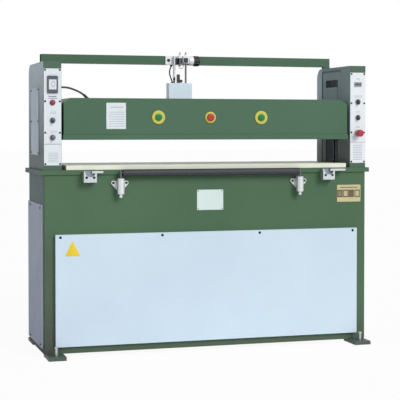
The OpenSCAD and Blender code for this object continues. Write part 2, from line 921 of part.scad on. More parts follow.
module lock_knob() {
    lobes = 10;
    stem_gap = 0.4;
    hub_gap = 0.3;
    foot_w = 3;
    foot_h = 4;
    dome_w = 9;
    dome_h = 8;
    groove_d = 12;
    groove_out = 3;
    face = clamp_half + hub_l + hub_gap;
    color(dark) translate([rod_x, rod_y, lock_z]) rotate([0, 90, 0]) {
        translate([0, 0, rod_d / 2 + stem_gap])
            cylinder(d = lock_stem_d, h = face - rod_d / 2 - stem_gap + eps);
        difference() {
            translate([0, 0, face]) rotate_extrude() polygon(concat([[0, 0], [lock_d / 2 - foot_w, 0],
                [lock_d / 2, foot_h]], round_over(lock_d / 2, lock_l, dome_w, dome_h), [[0, lock_l]]));
            for (i = [0:lobes - 1]) rotate([0, 0, i * 360 / lobes])
                translate([lock_d / 2 + groove_out, 0, face - eps])
                cylinder(d = groove_d, h = lock_l + 2 * eps, $fn = 24);
        }
    }
}

// Two small limit switches carried by the bracket, and the wire between them
module bracket_switches() {
    pin_switch = [22, 20, 34];
    pin_switch_at = [pin_x - 14, bracket_front - pin_switch.y, bar_z + 2];
    clamp_switch = [22, 6, 26];
    clamp_switch_at = [rod_x - 16, clamp_y - clamp_switch.y, bar_z + 10];
    color(dark) {
        translate(pin_switch_at) cube(pin_switch);
        translate(clamp_switch_at) cube(clamp_switch);
        cord(trip_wire_route, trip_wire_d, [0, 0, -1], [0, 0, 1]);
    }
}

module setting_box() {
    rod_room = 2;
    box_y = rod_y - box_d / 2;
    color(cover_blue) difference() {
        block([box_x, box_y, beam_top], [box_x + box_w, box_y + box_d, box_top]);
        block([box_x + sheet_t, box_y + sheet_t, beam_top - eps],
            [box_x + box_w - sheet_t, box_y + box_d - sheet_t, box_top - sheet_t]);
        translate([rod_x, rod_y, beam_top + box_h / 2]) cylinder(d = rod_d + 2 * rod_room, h = box_h);
    }
}

// Limit switch on the box: an upright body and a roller on a short arm
module box_switch() {
    body = [13, 26, 50];
    arm = [9, 8, 8];
    arm_z = 8;
    wheel_d = 18;
    wheel_l = 14;
    color(dark) translate([pin_x - 17, rod_y, box_top]) {
        translate([0, -body.y / 2, 0]) cube(body);
        translate([body.x - eps, -arm.y / 2, arm_z]) cube(arm + [eps, 0, 0]);
        translate([body.x + arm.x, wheel_l / 2, arm_z + arm.z / 2]) rotate([90, 0, 0])
            cylinder(d = wheel_d, h = wheel_l);
    }
}

// Feed roller and its lift
lift_y = front_y - lift_out;
lift_top = table_top - lift_drop;
roller_z = table_top - roller_drop;
ear_drop = 24;
ear_z = lift_top - ear_drop;
ear_t = 9;
ear_r = 11;
lift_floor = 12;
guide_drop = 40;
guide_z = table_z - guide_drop;
guide_bolt_x = 20;
guide_bolt_up = 26;
guide_bolt_z = guide_z + guide_bolt_up;

module at_bracket_bolts() {
    for (side = [-1, 1], dx = [-1, 1]) {
        facing_front(side * lift_x + dx * ear_x, front_y - ear_t, ear_z) children();
        facing_front(side * guide_x + dx * guide_bolt_x, front_y - guide_d, guide_bolt_z) children();
    }
}

// Blocks under the pad's front edge, with a round pocket in the face and a tongue to the right
module guide_brackets() {
    tongue_x = 8;
    tongue_h = 11;
    tip = 8;
    lip_room = 0.5;
    pocket_r = 28;
    pocket_t = 18;
    pocket_rise = 4;
    guide_top = guide_z + guide_h;
    guide_front = front_y - guide_d;
    lip_y = front_y - table_lip - lip_room;
    color("#dfe5e2") for (side = [-1, 1]) difference() {
        translate([side * guide_x, 0, 0]) {
            difference() {
                block([-guide_w / 2, guide_front, guide_z], [guide_w / 2, front_y, guide_top]);
                facing_front(0, guide_front + pocket_t, guide_top - pocket_rise)
                    cylinder(r = pocket_r, h = pocket_t + eps);
            }
            tongue_end = side < 0 ? 72 : 102;
            along_y(guide_front, lip_y) polygon([[tongue_x, guide_top - tongue_h],
                [tongue_end - tip, guide_top - tongue_h], [tongue_end, guide_top - tongue_h / 2],
                [tongue_end - tip / 2, guide_top], [tongue_x, guide_top]]);
        }
        block([-half_w, lip_y, table_z], [half_w, front_y + eps, table_top]);
        at_bracket_bolts() screw_hole(guide_d + eps);
    }
}

module at_bracket_bolt() {
    facing_front(box_x + bracket_bolt_in, bracket_front, bar_z + bar_w / 2) children();
}

module bracket_bolt_hole() {
    at_bracket_bolt() screw_hole(2 * bracket_t);
}

module bracket_bolts() {
    bar_head_d = 18;
    color(dark) {
        for (side = [-1, 1], dx = [-1, 1]) {
            facing_front(side * lift_x + dx * ear_x, front_y - ear_t, ear_z)
                screw(ear_t + plate_t, bracket_head_d);
            facing_front(side * guide_x + dx * guide_bolt_x, front_y - guide_d, guide_bolt_z)
                screw(guide_d + plate_t, bracket_head_d);
        }
        at_bracket_bolt() screw(bracket_t + bar_wall, bar_head_d);
    }
}

// Lift cylinder: barrel, nozzle, web to the base and a plate with two ears
module lift_cylinders() {
    nozzle_d = 18;
    nozzle_h = 19;
    web = 28;
    web_in = 8;
    plate_drop = 42;
    ear_side = ear_x + 0.8 * ear_r;
    ear_low = ear_z - 0.6 * ear_r;
    low_z = lift_top - lift_h;
    color("#e3e7ea") for (side = [-1, 1]) translate([side * lift_x, 0, 0]) difference() {
        union() {
            translate([0, lift_y, low_z]) cylinder(d = lift_d, h = lift_h);
            translate([0, lift_y, low_z - nozzle_h]) cylinder(d = nozzle_d, h = nozzle_h + eps);
            block([-web / 2, lift_y, low_z + lift_h / 3], [web / 2, front_y, lift_top - web_in]);
            along_y(front_y - ear_t, front_y) {
                for (dx = [-1, 1]) translate([dx * ear_x, ear_z]) circle(ear_r);
                polygon([[-ear_x, ear_z + ear_r], [-ear_side, ear_low], [-web / 2, ear_z - plate_drop],
                    [web / 2, ear_z - plate_drop], [ear_side, ear_low], [ear_x, ear_z + ear_r]]);
            }
        }
        translate([0, lift_y, low_z + lift_floor]) cylinder(d = lift_rod_d + 2 * fit, h = lift_h);
        for (dx = [-1, 1]) facing_front(dx * ear_x, front_y - ear_t, ear_z) screw_hole(ear_t + eps);
    }
}

// Two lift rods joined by the roller's axle
module lift_rods() {
    floor_gap = 2;
    rod_over = 4;
    rod_low = lift_top - lift_h + lift_floor + floor_gap;
    color("#55585c") {
        both_sides() translate([lift_x, lift_y, rod_low])
            cylinder(d = lift_rod_d, h = roller_z + axle_d / 2 + rod_over - rod_low);
        translate([-lift_x, lift_y, roller_z]) rotate([0, 90, 0]) cylinder(d = axle_d, h = 2 * lift_x);
    }
}

module roller() {
    end_play = 3;
    half_l = lift_x - lift_rod_d / 2 - end_play;
    color("#4a4650") translate([-half_l, lift_y, roller_z]) rotate([0, 90, 0]) difference() {
        cylinder(d = roller_d, h = 2 * half_l);
        translate([0, 0, -eps]) cylinder(d = axle_d + 2 * fit, h = 2 * half_l + 2 * eps);
    }
}

// Beam
module beam_outline(inset) {
    w = beam_half - inset;
    top = beam_top - inset;
    low = shell_z + inset;
    cut_x = beam_half - beam_cut_x - inset / 2;
    cut_z = beam_top - beam_cut_z - inset / 2;
    polygon([[-w, low], [w, low], [w, cut_z], [cut_x, top], [-cut_x, top], [-w, cut_z]]);
}

module at_buttons(xs) {
    for (x = xs) facing_front(x, beam_front, beam_z + button_z) children();
}

neck_wall = 3;
neck_l = 20;

module beam_shell() {
    color(body_green) difference() {
        along_y(beam_front, -beam_front) beam_outline(0);
        along_y(beam_front + beam_wall, -beam_front - beam_wall) beam_outline(beam_wall);
        at_buttons([-button_x, button_x]) translate([0, 0, -2 * beam_wall])
            cylinder(d = green_d + 2 * neck_wall + 4 * fit, h = 2 * beam_wall + eps);
        at_buttons([0]) translate([0, 0, -2 * beam_wall])
            cylinder(d = red_d + 2 * neck_wall + 4 * fit, h = 2 * beam_wall + eps);
    }
}

module press_plate() {
    w = beam_half + press_lip;
    d = press_lip - beam_front;
    color(body_green) block([-w, -d, beam_z], [w, d, shell_z]);
}

// A slider: block inside the column, neck in the slot and flange on the beam's end
module slider() {
    play = 2;
    block_drop = 8;
    block_y = slot_w / 2 + slider_lap;
    neck_y = slot_w / 2 - slide_play;
    inner_x = column_in + column_wall + play;
    neck_x = column_in + recess_t / 2;
    flange_in = 24;
    flange_gap = 4;
    translate([0, slot_y, 0]) {
        block([inner_x, -block_y, slider_z], [half_w - column_wall - play, block_y, slider_top - block_drop]);
        along_x(neck_x, inner_x + eps) translate([-neck_y, slider_z])
            rounded_square([2 * neck_y, slider_top - slider_z], slot_r);
        block([beam_half, -neck_y + flange_in, shell_z + flange_gap],
            [neck_x + eps, neck_y - flange_in, beam_top - beam_cut_z - flange_gap]);
    }
}

module left_slider() {
    color("#6c8a78") mirror([1, 0, 0]) slider();
}

module right_slider() {
    color("#6c8a78") slider();
}

module button_ring(ring_d, cap_d) {
    bore = cap_d / 2 + fit;
    neck_r = cap_d / 2 + neck_wall;
    ring_round = 4;
    rotate_extrude() polygon(concat([[bore, -neck_l], [neck_r, -neck_l], [neck_r, 0], [ring_d / 2, 0]],
        round_over(ring_d / 2, ring_t, ring_round, ring_round), [[bore, ring_t]]));
}

module button_rings() {
    color("#e3c51f") {
        at_buttons([-button_x, button_x]) button_ring(green_ring_d, green_d);
        at_buttons([0]) button_ring(red_ring_d, red_d);
    }
}

module button_cap(cap_d) {
    face = ring_t + button_up;
    dome = 3;
    rotate_extrude() polygon(concat([[0, -neck_l], [cap_d / 2, -neck_l]],
        round_over(cap_d / 2, face, cap_d / 4, dome), [[0, face]]));
}

module left_button() {
    color("#1f8a3f") at_buttons([-button_x]) button_cap(green_d);
}

module right_button() {
    color("#1f8a3f") at_buttons([button_x]) button_cap(green_d);
}

module stop_button() {
    color("#c22428") at_buttons([0]) button_cap(red_d);
}

// Hydraulics and synchroniser
piston_drop = 165;
piston_low = table_z - piston_drop;

module press_cylinders() {
    head = 22;
    low_z = table_z - cylinder_l;
    outer = cylinder_bore / 2 + cylinder_wall;
    color(steel) both_sides() translate([column_x, slot_y, 0]) rotate_extrude()
        polygon([[0, low_z], [outer, low_z], [outer, table_z], [piston_rod_d / 2 + fit, table_z],
            [piston_rod_d / 2 + fit, table_z - head], [cylinder_bore / 2, table_z - head],
            [cylinder_bore / 2, low_z + head], [0, low_z + head]]);
}

module piston_rods() {
    color("#d0d4d8") both_sides() translate([column_x, slot_y, 0]) rotate_extrude()
        polygon([[0, piston_low], [cylinder_bore / 2 - fit, piston_low],
            [cylinder_bore / 2 - fit, piston_low + piston_t], [piston_rod_d / 2, piston_low + piston_t],
            [piston_rod_d / 2, slider_z], [0, slider_z]]);
}

// Straight rack teeth: half widths at the root and at the tip
rack_half = (tooth_pitch / 2 - backlash / 2) / 2;
rack_root_half = rack_half + dedendum * tan(pressure_angle);
rack_tip_half = rack_half - tooth_module * tan(pressure_angle);
rack_below = 5;
rack_above = 12;

module rack_outline() {
    root_y = pitch_y - dedendum;
    tip_y = pitch_y + tooth_module;
    low = shaft_z - (rack_below + 1) * tooth_pitch;
    translate([rack_y, low]) square([root_y - rack_y, slider_z - low]);
    for (i = [-rack_below:rack_above]) translate([0, shaft_z + (i - 0.5) * tooth_pitch])
        polygon([[root_y - eps, -rack_root_half], [root_y, -rack_root_half], [tip_y, -rack_tip_half],
            [tip_y, rack_tip_half], [root_y, rack_root_half], [root_y - eps, rack_root_half]]);
}

module sync_racks() {
    color(steel) both_sides() along_x(column_x - rack_w / 2, column_x + rack_w / 2) rack_outline();
}

// Involute flank: angle from the tooth's middle at radius r
function inv(a) = tan(a) * 180 / PI - a;
function flank_angle(r) = 90 / pinion_teeth - backlash / 4 / pitch_r * 180 / PI + inv(pressure_angle)
    - (r > base_r ? inv(acos(base_r / r)) : 0);
flank_steps = 5;
flank_radii = [root_r, for (i = [0:flank_steps]) base_r + (tip_r - base_r) * i / flank_steps];
function polar(r, a) = [r * cos(a), r * sin(a)];
function tooth(mid) = [for (r = flank_radii) polar(r, mid - flank_angle(r)),
    for (i = [len(flank_radii) - 1:-1:0]) polar(flank_radii[i], mid + flank_angle(flank_radii[i]))];

module pinion_outline() {
    polygon([for (i = [0:pinion_teeth - 1]) each tooth(180 + i * 360 / pinion_teeth)]);
}

module sync_shaft() {
    shaft_over = 6;
    end = column_x + rack_w / 2 + shaft_over;
    color(steel) translate([0, shaft_y, shaft_z]) {
        translate([-end, 0, 0]) rotate([0, 90, 0]) cylinder(d = shaft_d, h = 2 * end);
        both_sides() along_x(column_x - rack_w / 2, column_x + rack_w / 2) pinion_outline();
    }
}

module shaft_bearings() {
    bearing_wall = 12;
    half = shaft_d / 2 + bearing_wall;
    color("#5b5f63") both_sides() difference() {
        block([bearing_x, shaft_y - half, shaft_z - half], [bearing_x + bearing_w, shaft_y + half, table_z]);
        translate([bearing_x - eps, shaft_y, shaft_z]) rotate([0, 90, 0])
            cylinder(d = shaft_d + 2 * fit, h = bearing_w + 2 * eps);
    }
}

module oil_tank() {
    wall = 4;
    low = foot_t + pan_t;
    color("#3f5a48") difference() {
        block([-tank_w / 2, -tank_d / 2, low], [tank_w / 2, tank_d / 2, low + tank_h]);
        block([-tank_w / 2 + wall, -tank_d / 2 + wall, low + wall],
            [tank_w / 2 - wall, tank_d / 2 - wall, low + tank_h - wall]);
    }
}

// Motor with its foot and the pump on its shaft end
module pump_motor() {
    low = foot_t + pan_t + tank_h;
    motor_rise = 15;
    axis_z = low + motor_d / 2 + motor_rise;
    pump_d = 110;
    pump_l = 120;
    color("#5b5f63") {
        translate([-motor_l / 2 - pump_l / 2, 0, axis_z]) rotate([0, 90, 0]) {
            cylinder(d = motor_d, h = motor_l);
            translate([0, 0, motor_l - eps]) cylinder(d = pump_d, h = pump_l + eps);
        }
        block([-motor_l / 2, -motor_d / 3, low], [motor_l / 2 - pump_l, motor_d / 3, axis_z]);
    }
}

// Cords
function last(list) = list[len(list) - 1];

module frame_glands() {
    conduit_start = conduit_route[0];
    cable_start = switch_cable_route[0];
    color(dark) {
        translate([-column_in, conduit_start.y, conduit_start.z]) rotate([0, 90, 0])
            cylinder(d = gland_d, h = gland_l);
        translate([cable_start.x, cable_start.y, bar_z - gland_l]) cylinder(d = gland_d, h = gland_l);
    }
}

// A slanted gland on the beam, cut flat where it stands, and a short one on the setting box
module beam_glands() {
    short_l = 5;
    slant_l = 2 * norm(slant);
    tip_clear = 0.02;
    foot = [slant_in - beam_half, conduit_route[0].y, beam_top];
    cable_end = last(switch_cable_route);
    color(dark) {
        difference() {
            translate(foot - slant + tip_clear * unit(slant)) rotate([0, atan2(slant.x, slant.z), 0])
                cylinder(d = gland_d, h = slant_l);
            block(foot - [slant_l, gland_d, slant_l], foot + [slant_l, gland_d, 0]);
        }
        translate([cable_end.x, cable_end.y, box_top]) cylinder(d = gland_d, h = short_l);
    }
}

function unit(v) = v / norm(v);
// Point of a smooth curve through the route's points, at u steps along it
function route_point(p, u) = let(n = len(p) - 1, i = min(floor(u), n - 1), t = u - i,
    a = p[max(i - 1, 0)], b = p[i], c = p[i + 1], d = p[min(i + 2, n)])
    0.5 * (2 * b + (c - a) * t + (2 * a - 5 * b + 4 * c - d) * t * t + (3 * b - a - 3 * c + d) * t * t * t);

// Tube along a route that starts and ends square to the given directions
module cord(route, d, start, end) {
    sides = 10;
    rings = 4 * (len(route) - 1);
    pts = [for (k = [0:rings]) route_point(route, k * (len(route) - 1) / rings)];
    dirs = [for (k = [0:rings]) k == 0 ? start : k == rings ? end : unit(pts[k + 1] - pts[k - 1])];
    function ring(k) = let(u = unit(cross(dirs[k], [0.2, 1, 0.1])), v = cross(dirs[k], u))
        [for (s = [0:sides - 1]) pts[k] + d / 2 * (u * cos(360 * s / sides) + v * sin(360 * s / sides))];
    points = [for (k = [0:rings]) each ring(k)];
    walls = [for (k = [0:rings - 1], s = [0:sides - 1])
        let(a = k * sides + s, b = k * sides + (s + 1) % sides)
        each [[a, a + sides, b], [b, a + sides, b + sides]]];
    caps = [[for (s = [0:sides - 1]) s], [for (s = [sides - 1:-1:0]) rings * sides + s]];
    polyhedron(points, concat(walls, caps));
}

module conduit() {
    color(dark) cord(conduit_route, conduit_d, [1, 0, 0], unit(slant));
}

module switch_cable() {
    color(dark) cord(switch_cable_route, switch_cable_d, [0, 0, -1], [0, 0, -1]);
}

foot_plates();
levelling_bolts();
corner_posts();
base_sills();
floor_pan();
base_aprons();
table_plate();
front_cover();
side_covers();
rear_cover();
cover_screws();
left_column();
right_column();
column_side_plates();
left_control_panel();
right_control_panel();
timer_bezel();
timer_screen();
power_lamp();
counter_window();
left_upper_knob();
left_lower_knob();
right_upper_knob();
right_lower_knob();
stop_collar();
stop_mushroom();
cross_bar();
setting_bracket();
setting_rod();
trip_pin();
lock_knob();
bracket_switches();
setting_box();
box_switch();
cutting_pad();
guide_brackets();
bracket_bolts();
lift_cylinders();
lift_rods();
roller();
beam_shell();
press_plate();
left_slider();
right_slider();
button_rings();
left_button();
right_button();
stop_button();
press_cylinders();
piston_rods();
sync_racks();
sync_shaft();
shaft_bearings();
oil_tank();
pump_motor();
frame_glands();
beam_glands();
conduit();
switch_cable();
box_stud();
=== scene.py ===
import json
import math

import bmesh
import bpy
from mathutils import Matrix, Vector


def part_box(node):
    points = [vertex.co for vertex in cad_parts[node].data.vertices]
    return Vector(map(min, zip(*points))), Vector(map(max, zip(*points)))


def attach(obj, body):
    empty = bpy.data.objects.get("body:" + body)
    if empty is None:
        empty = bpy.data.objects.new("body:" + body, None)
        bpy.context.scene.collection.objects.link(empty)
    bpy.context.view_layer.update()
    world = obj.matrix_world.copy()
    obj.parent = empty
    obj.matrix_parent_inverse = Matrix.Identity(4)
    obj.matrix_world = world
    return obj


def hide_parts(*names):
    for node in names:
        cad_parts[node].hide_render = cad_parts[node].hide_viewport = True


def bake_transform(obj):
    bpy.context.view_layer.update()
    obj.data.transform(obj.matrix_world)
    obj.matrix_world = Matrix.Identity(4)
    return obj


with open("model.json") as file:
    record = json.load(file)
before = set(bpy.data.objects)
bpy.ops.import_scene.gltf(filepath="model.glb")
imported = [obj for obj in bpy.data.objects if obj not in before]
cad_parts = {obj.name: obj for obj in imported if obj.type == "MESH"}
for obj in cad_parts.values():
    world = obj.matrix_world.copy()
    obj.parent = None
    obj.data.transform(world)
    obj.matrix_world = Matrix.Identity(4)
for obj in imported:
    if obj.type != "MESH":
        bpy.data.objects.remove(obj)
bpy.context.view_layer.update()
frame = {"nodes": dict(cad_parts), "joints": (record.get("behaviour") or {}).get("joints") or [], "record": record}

nodes = frame["nodes"]
scene = bpy.context.scene
scene.view_settings.view_transform = "Standard"
mm = 0.001
skin = 0.5 * mm  # a face this close to its node's front or top counts as part of it
print("frame loaded,", len(nodes), "nodes")


def frontOf(node):
    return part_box(node)[0][1]


def topOf(node):
    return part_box(node)[1][2]


viewpoint = {
    "place": (-2.01071, -6.72942, 1.21505),
    "turn": 0.29211,  # to the right of straight ahead, radians
    "tilt": 0.02546,  # down from level, radians
    "lens": 111.678,
    "sensor": 36,
    "shift": -0.1,
    "farthest": 300,
}


def setCamera(spec):
    data = bpy.data.cameras.new("camera")
    data.sensor_width = spec["sensor"]
    data.lens = spec["lens"]
    data.shift_y = spec["shift"]
    data.clip_end = spec["farthest"]
    camera = bpy.data.objects.new("camera", data)
    camera.location = spec["place"]
    camera.rotation_euler = (math.pi / 2 - spec["tilt"], 0, -spec["turn"])
    scene.collection.objects.link(camera)
    scene.camera = camera


setCamera(viewpoint)
print("camera set")


def fromPhoto(red, green, blue):  # 0 to 255 as a picture shows it
    return tuple(((c / 255 + 0.055) / 1.055) ** 2.4 for c in (red, green, blue)) + (1,)


def shaded(colour, share):
    return tuple(c * share for c in colour[:3]) + (1,)


class Sock:  # a socket whose sums add Math nodes
    def __init__(self, maker, socket):
        self.maker = maker
        self.socket = socket

    def maths(self, operation, first, second):
        return self.maker.add("ShaderNodeMath", {"operation": operation}, {0: first, 1: second})

    def __add__(self, other):
        return self.maths("ADD", self, other)

    def __sub__(self, other):
        return self.maths("SUBTRACT", self, other)

    def __rsub__(self, other):
        return self.maths("SUBTRACT", other, self)

    def __mul__(self, other):
        return self.maths("MULTIPLY", self, other)

    def __gt__(self, other):
        return self.maths("GREATER_THAN", self, other)

    def __lt__(self, other):
        return self.maths("LESS_THAN", self, other)

    __radd__ = __add__
    __rmul__ = __mul__


class NodeMaker:
    def __init__(self, tree):
        self.tree = tree

    def add(self, kind, settings, sockets, out=0):
        made = self.tree.nodes.new(kind)
        for key, value in settings.items():
            if key == "stops":
                for stop, (position, shade) in zip(made.color_ramp.elements, value):
                    stop.position = position
                    stop.color = (shade, shade, shade, 1)
            else:
                setattr(made, key, value)
        for key, value in sockets.items():
            self.feed(made.inputs[key], value)
        if isinstance(out, tuple):
            return [Sock(self, made.outputs[name]) for name in out]
        return Sock(self, made.outputs[out])

    def feed(self, target, value):
        if isinstance(value, Sock):
            self.tree.links.new(value.socket, target)
        else:
            target.default_value = value


class Finish(NodeMaker):
    def __init__(self, name, constants):
        self.material = bpy.data.materials.new(name)
        self.material.use_nodes = True
        super().__init__(self.material.node_tree)
        self.shader = self.tree.nodes["Principled BSDF"]
        for socket, value in constants.items():
            self.give(socket, value)

    def give(self, socket, value):
        self.feed(self.shader.inputs[socket], value)

    def place(self):
        return self.add("ShaderNodeTexCoord", {}, {}, "Object")

    def axes(self, names):  # such as "XZ"
        return self.add("ShaderNodeSeparateXYZ", {}, {"Vector": self.place()}, tuple(names))

    def grain(self, scale, detail=2.0, stretch=(1, 1, 1), turn=0):
        spot = self.place()
        if turn:
            spot = self.add("ShaderNodeMapping", {}, {"Vector": spot, "Rotation": (0, 0, turn)})
        spot = self.add("ShaderNodeMapping", {}, {"Vector": spot, "Scale": stretch})
        return self.add("ShaderNodeTexNoise", {}, {"Vector": spot, "Scale": scale, "Detail": detail})

    def ramp(self, value, low=0.3, high=0.7):  # 0 below low, 1 above high
        return self.add("ShaderNodeValToRGB", {"stops": [(low, 0), (high, 1)]}, {"Fac": value})

    def tint(self, factor, first, second):
        return self.add("ShaderNodeMix", {"data_type": "RGBA"}, {0: factor, 6: first, 7: second}, 2)

    def relief(self, height, depth):
        self.give("Normal", self.add("ShaderNodeBump", {}, {"Height": height, "Distance": depth}))


def inside(x, z, box):  # 1 within left, right, low, high
    return (x > box[0]) * (x < box[1]) * (z > box[2]) * (z < box[3])


def barRows(finish, x, z, bars, fill):  # rows of plain bars in a box, with their pitch after it
    box, pitch = bars[:4], bars[4]
    row = finish.add("ShaderNodeMath", {"operation": "FRACT"}, {0: (z - box[2]) * (1 / pitch)})
    return inside(x, z, box) * (row < fill)


# Sheet steel under sprayed paint
sprayGrain = {
    "ior": 1.5,
    "cloud": 1.7,
    "cloudShare": 0.8,
    "speck": 55,
    "smear": 9,
}


def sprayPaint(spec):
    finish = Finish(spec["name"], {"IOR": sprayGrain["ior"], "Specular IOR Level": spec["gloss"]})
    cloud = finish.grain(sprayGrain["cloud"], 3)
    speck = finish.grain(sprayGrain["speck"], 3)
    mottle = cloud * sprayGrain["cloudShare"] + speck * (1 - sprayGrain["cloudShare"])
    finish.paint = finish.tint(finish.ramp(mottle), spec["low"], spec["high"])
    finish.give("Base Color", finish.paint)
    finish.give("Roughness", spec["rough"] + finish.grain(sprayGrain["smear"], 4) * spec["roughMore"])
    finish.relief(finish.grain(spec["peelScale"]), spec["peel"])
    return finish


greenSpec = {
    "name": "frameGreen",
    "low": fromPhoto(62, 97, 73),
    "high": fromPhoto(70, 105, 81),
    "gloss": 0.36,
    "rough": 0.4,
    "roughMore": 0.16,
    "peelScale": 240,
    "peel": 0.00008,
}
baseSpec = {
    **greenSpec,
    "name": "baseGreen",
    "low": fromPhoto(81, 109, 84),
    "high": fromPhoto(88, 116, 90),
    "gloss": 0.05,
}
columnSpec = {
    **greenSpec,
    "name": "columnGreen",
    "low": fromPhoto(76, 101, 85),
    "high": fromPhoto(84, 109, 93),
    "gloss": 0.2,
}
footSpec = {
    **greenSpec,
    "name": "footGreen",
    "low": fromPhoto(78, 91, 86),
    "high": fromPhoto(86, 99, 94),
    "gloss": 0.2,
}
coverSpec = {
    "name": "coverPale",
    "low": fromPhoto(201, 219, 234),
    "high": fromPhoto(210, 228, 242),
    "gloss": 0.5,
    "rough": 0.26,
    "roughMore": 0.14,
    "peelScale": 260,
    "peel": 0.00006,
}
# The setting box has the front cover's pale paint, drawn lighter here: painted light for the light it misses above
# the dark beam
litBoxSpec = {
    **coverSpec,
    "name": "boxLitPale",
    "low": fromPhoto(221, 236, 255),
    "high": fromPhoto(230, 244, 255),
}
# The base's side covers have the front cover's pale paint, drawn darker here: painted shade
shadedSideSpec = {
    "name": "sideShadedGrey",
    "low": fromPhoto(118, 132, 158),
    "high": fromPhoto(126, 140, 166),
    "gloss": 0.4,
    "rough": 0.36,
    "roughMore": 0.14,
    "peelScale": 260,
    "peel": 0.00006,
}
plateSpec = {
    **shadedSideSpec,
    "name": "plateGrey",
    "low": fromPhoto(157, 175, 193),
    "high": fromPhoto(165, 183, 201),
}
panelSpec = {
    "name": "panelWhite",
    "low": fromPhoto(219, 227, 234),
    "high": fromPhoto(226, 234, 240),
    "gloss": 0.5,
    "rough": 0.3,
    "roughMore": 0.1,
    "peelScale": 300,
    "peel": 0.00003,
}
bracketSpec = {
    **panelSpec,
    "name": "bracketWhite",
    "low": fromPhoto(238, 240, 244),
    "high": fromPhoto(246, 248, 251),
}


def sideways(finish):  # 1 on faces turned to the left or right
    leastSquare = 0.8
    facing = finish.add("ShaderNodeNewGeometry", {}, {}, "True Normal")
    across = finish.add("ShaderNodeSeparateXYZ", {}, {"Vector": facing}, "X")
    return across * across > leastSquare


# Dust on the base paint, greyer towards the floor and low on the left post, and a painted reflection on the side
# faces, darker at their bottom; heights in metres
baseDustAndSheen = {
    "film": fromPhoto(83, 88, 81),
    "filmShare": 0.5,
    "floorFilm": (0.3, 0.25),  # top of the dust above the floor, and how far down it gathers
    "postFilm": (0.7, 0.15),  # the same on the left post
    "postEdge": -0.86,
    # painted reflection of the pale surroundings on the side faces, with some dust
    "sideSheenAndDust": fromPhoto(88, 107, 110),
    # the side faces darken towards their bottom
    "sideBottom": fromPhoto(28, 31, 37),
    "sideBottomEnds": (0.06, 0.1),
}


def dustAndSheenBase(finish, spec):
    x, z = finish.axes("XZ")
    low = finish.ramp(spec["floorFilm"][0] - z, 0, spec["floorFilm"][1])
    left = finish.ramp(spec["postFilm"][0] - z, 0, spec["postFilm"][1]) * (x < spec["postEdge"])
    front = finish.tint((low + left) * spec["filmShare"], finish.paint, spec["film"])
    # Side faces: painted reflection, darker at the bottom
    side = finish.tint(finish.ramp(z, *spec["sideBottomEnds"]), spec["sideBottom"], spec["sideSheenAndDust"])
    finish.give("Base Color", finish.tint(sideways(finish), front, side))


sideToneAndLitEdges = {
    "foot": fromPhoto(103, 116, 150),
    "footEnds": (0.05, 0.6),
    "edge": fromPhoto(226, 232, 242),  # painted light on the folded edges, paler than the flats, against the post's shadow on the front fold
}


def paintSideToneAndLitEdges(finish, spec):
    (z,) = finish.axes("Z")
    flat = finish.tint(finish.ramp(z, *spec["footEnds"]), spec["foot"], finish.paint)
    finish.give("Base Color", finish.tint(sideways(finish), spec["edge"], flat))


columnLightAndShade = {
    "heightShare": 0.5,  # brings heights under 1 for the ramps
    "ragged": (4, 0.04),  # scale and reach of the uneven edge
    "outerTop": fromPhoto(172, 187, 197),  # painted light and reflection on the outer sides, paler towards the top
    "outerLow": fromPhoto(70, 88, 92),
    "outerFade": (0.57, 0.79),
    "outerFrom": 0.87,  # out from the middle, between the inner and the outer wall
    # painted reflection on the inner faces, with painted shade under the beam low down
    "inner": fromPhoto(136, 156, 162),
    "innerShade": fromPhoto(88, 98, 96),
    "innerFade": (0.58, 0.62),
    # painted highlight along the back of the inner faces
    "rim": fromPhoto(176, 200, 212),
    "rimFrom": 0.168,
    "rimLeast": 0.12,  # share of the rim's tone that is left low down
    "hollow": fromPhoto(39, 42, 44),  # painted glow that stands in for stray light in the column, seen through its slot
    "hollowGlowBox": (0.835, 0.9185, 0.2435, 1.567),  # x from and to, half depth, top
    "recessShade": fromPhoto(66, 76, 78),  # painted shade along the inside of the recess's edge
    "recess": (0.022, 0.144, 1.551, 0.022),  # middle, half width, top, corner radius
    "recessShadeWidth": 0.016,
    "recessShadeFade": (0.1, 0.9),
}


def recessShadeLine(finish, y, z, spec):  # 1 along the inside of a round cornered edge
    middle, half, top, radius = spec["recess"]
    across = y.maths("ABSOLUTE", y - middle, 0) - (half - radius)
    up = z - (top - radius)
    corner = across.maths("MAXIMUM", across, 0), up.maths("MAXIMUM", up, 0)
    far = up.maths("POWER", corner[0] * corner[0] + corner[1] * corner[1], 0.5)
    past = far + up.maths("MINIMUM", up.maths("MAXIMUM", across, up), 0) - radius
    return finish.ramp(past * (1 / spec["recessShadeWidth"]) + 1, *spec["recessShadeFade"]) * (past < skin)


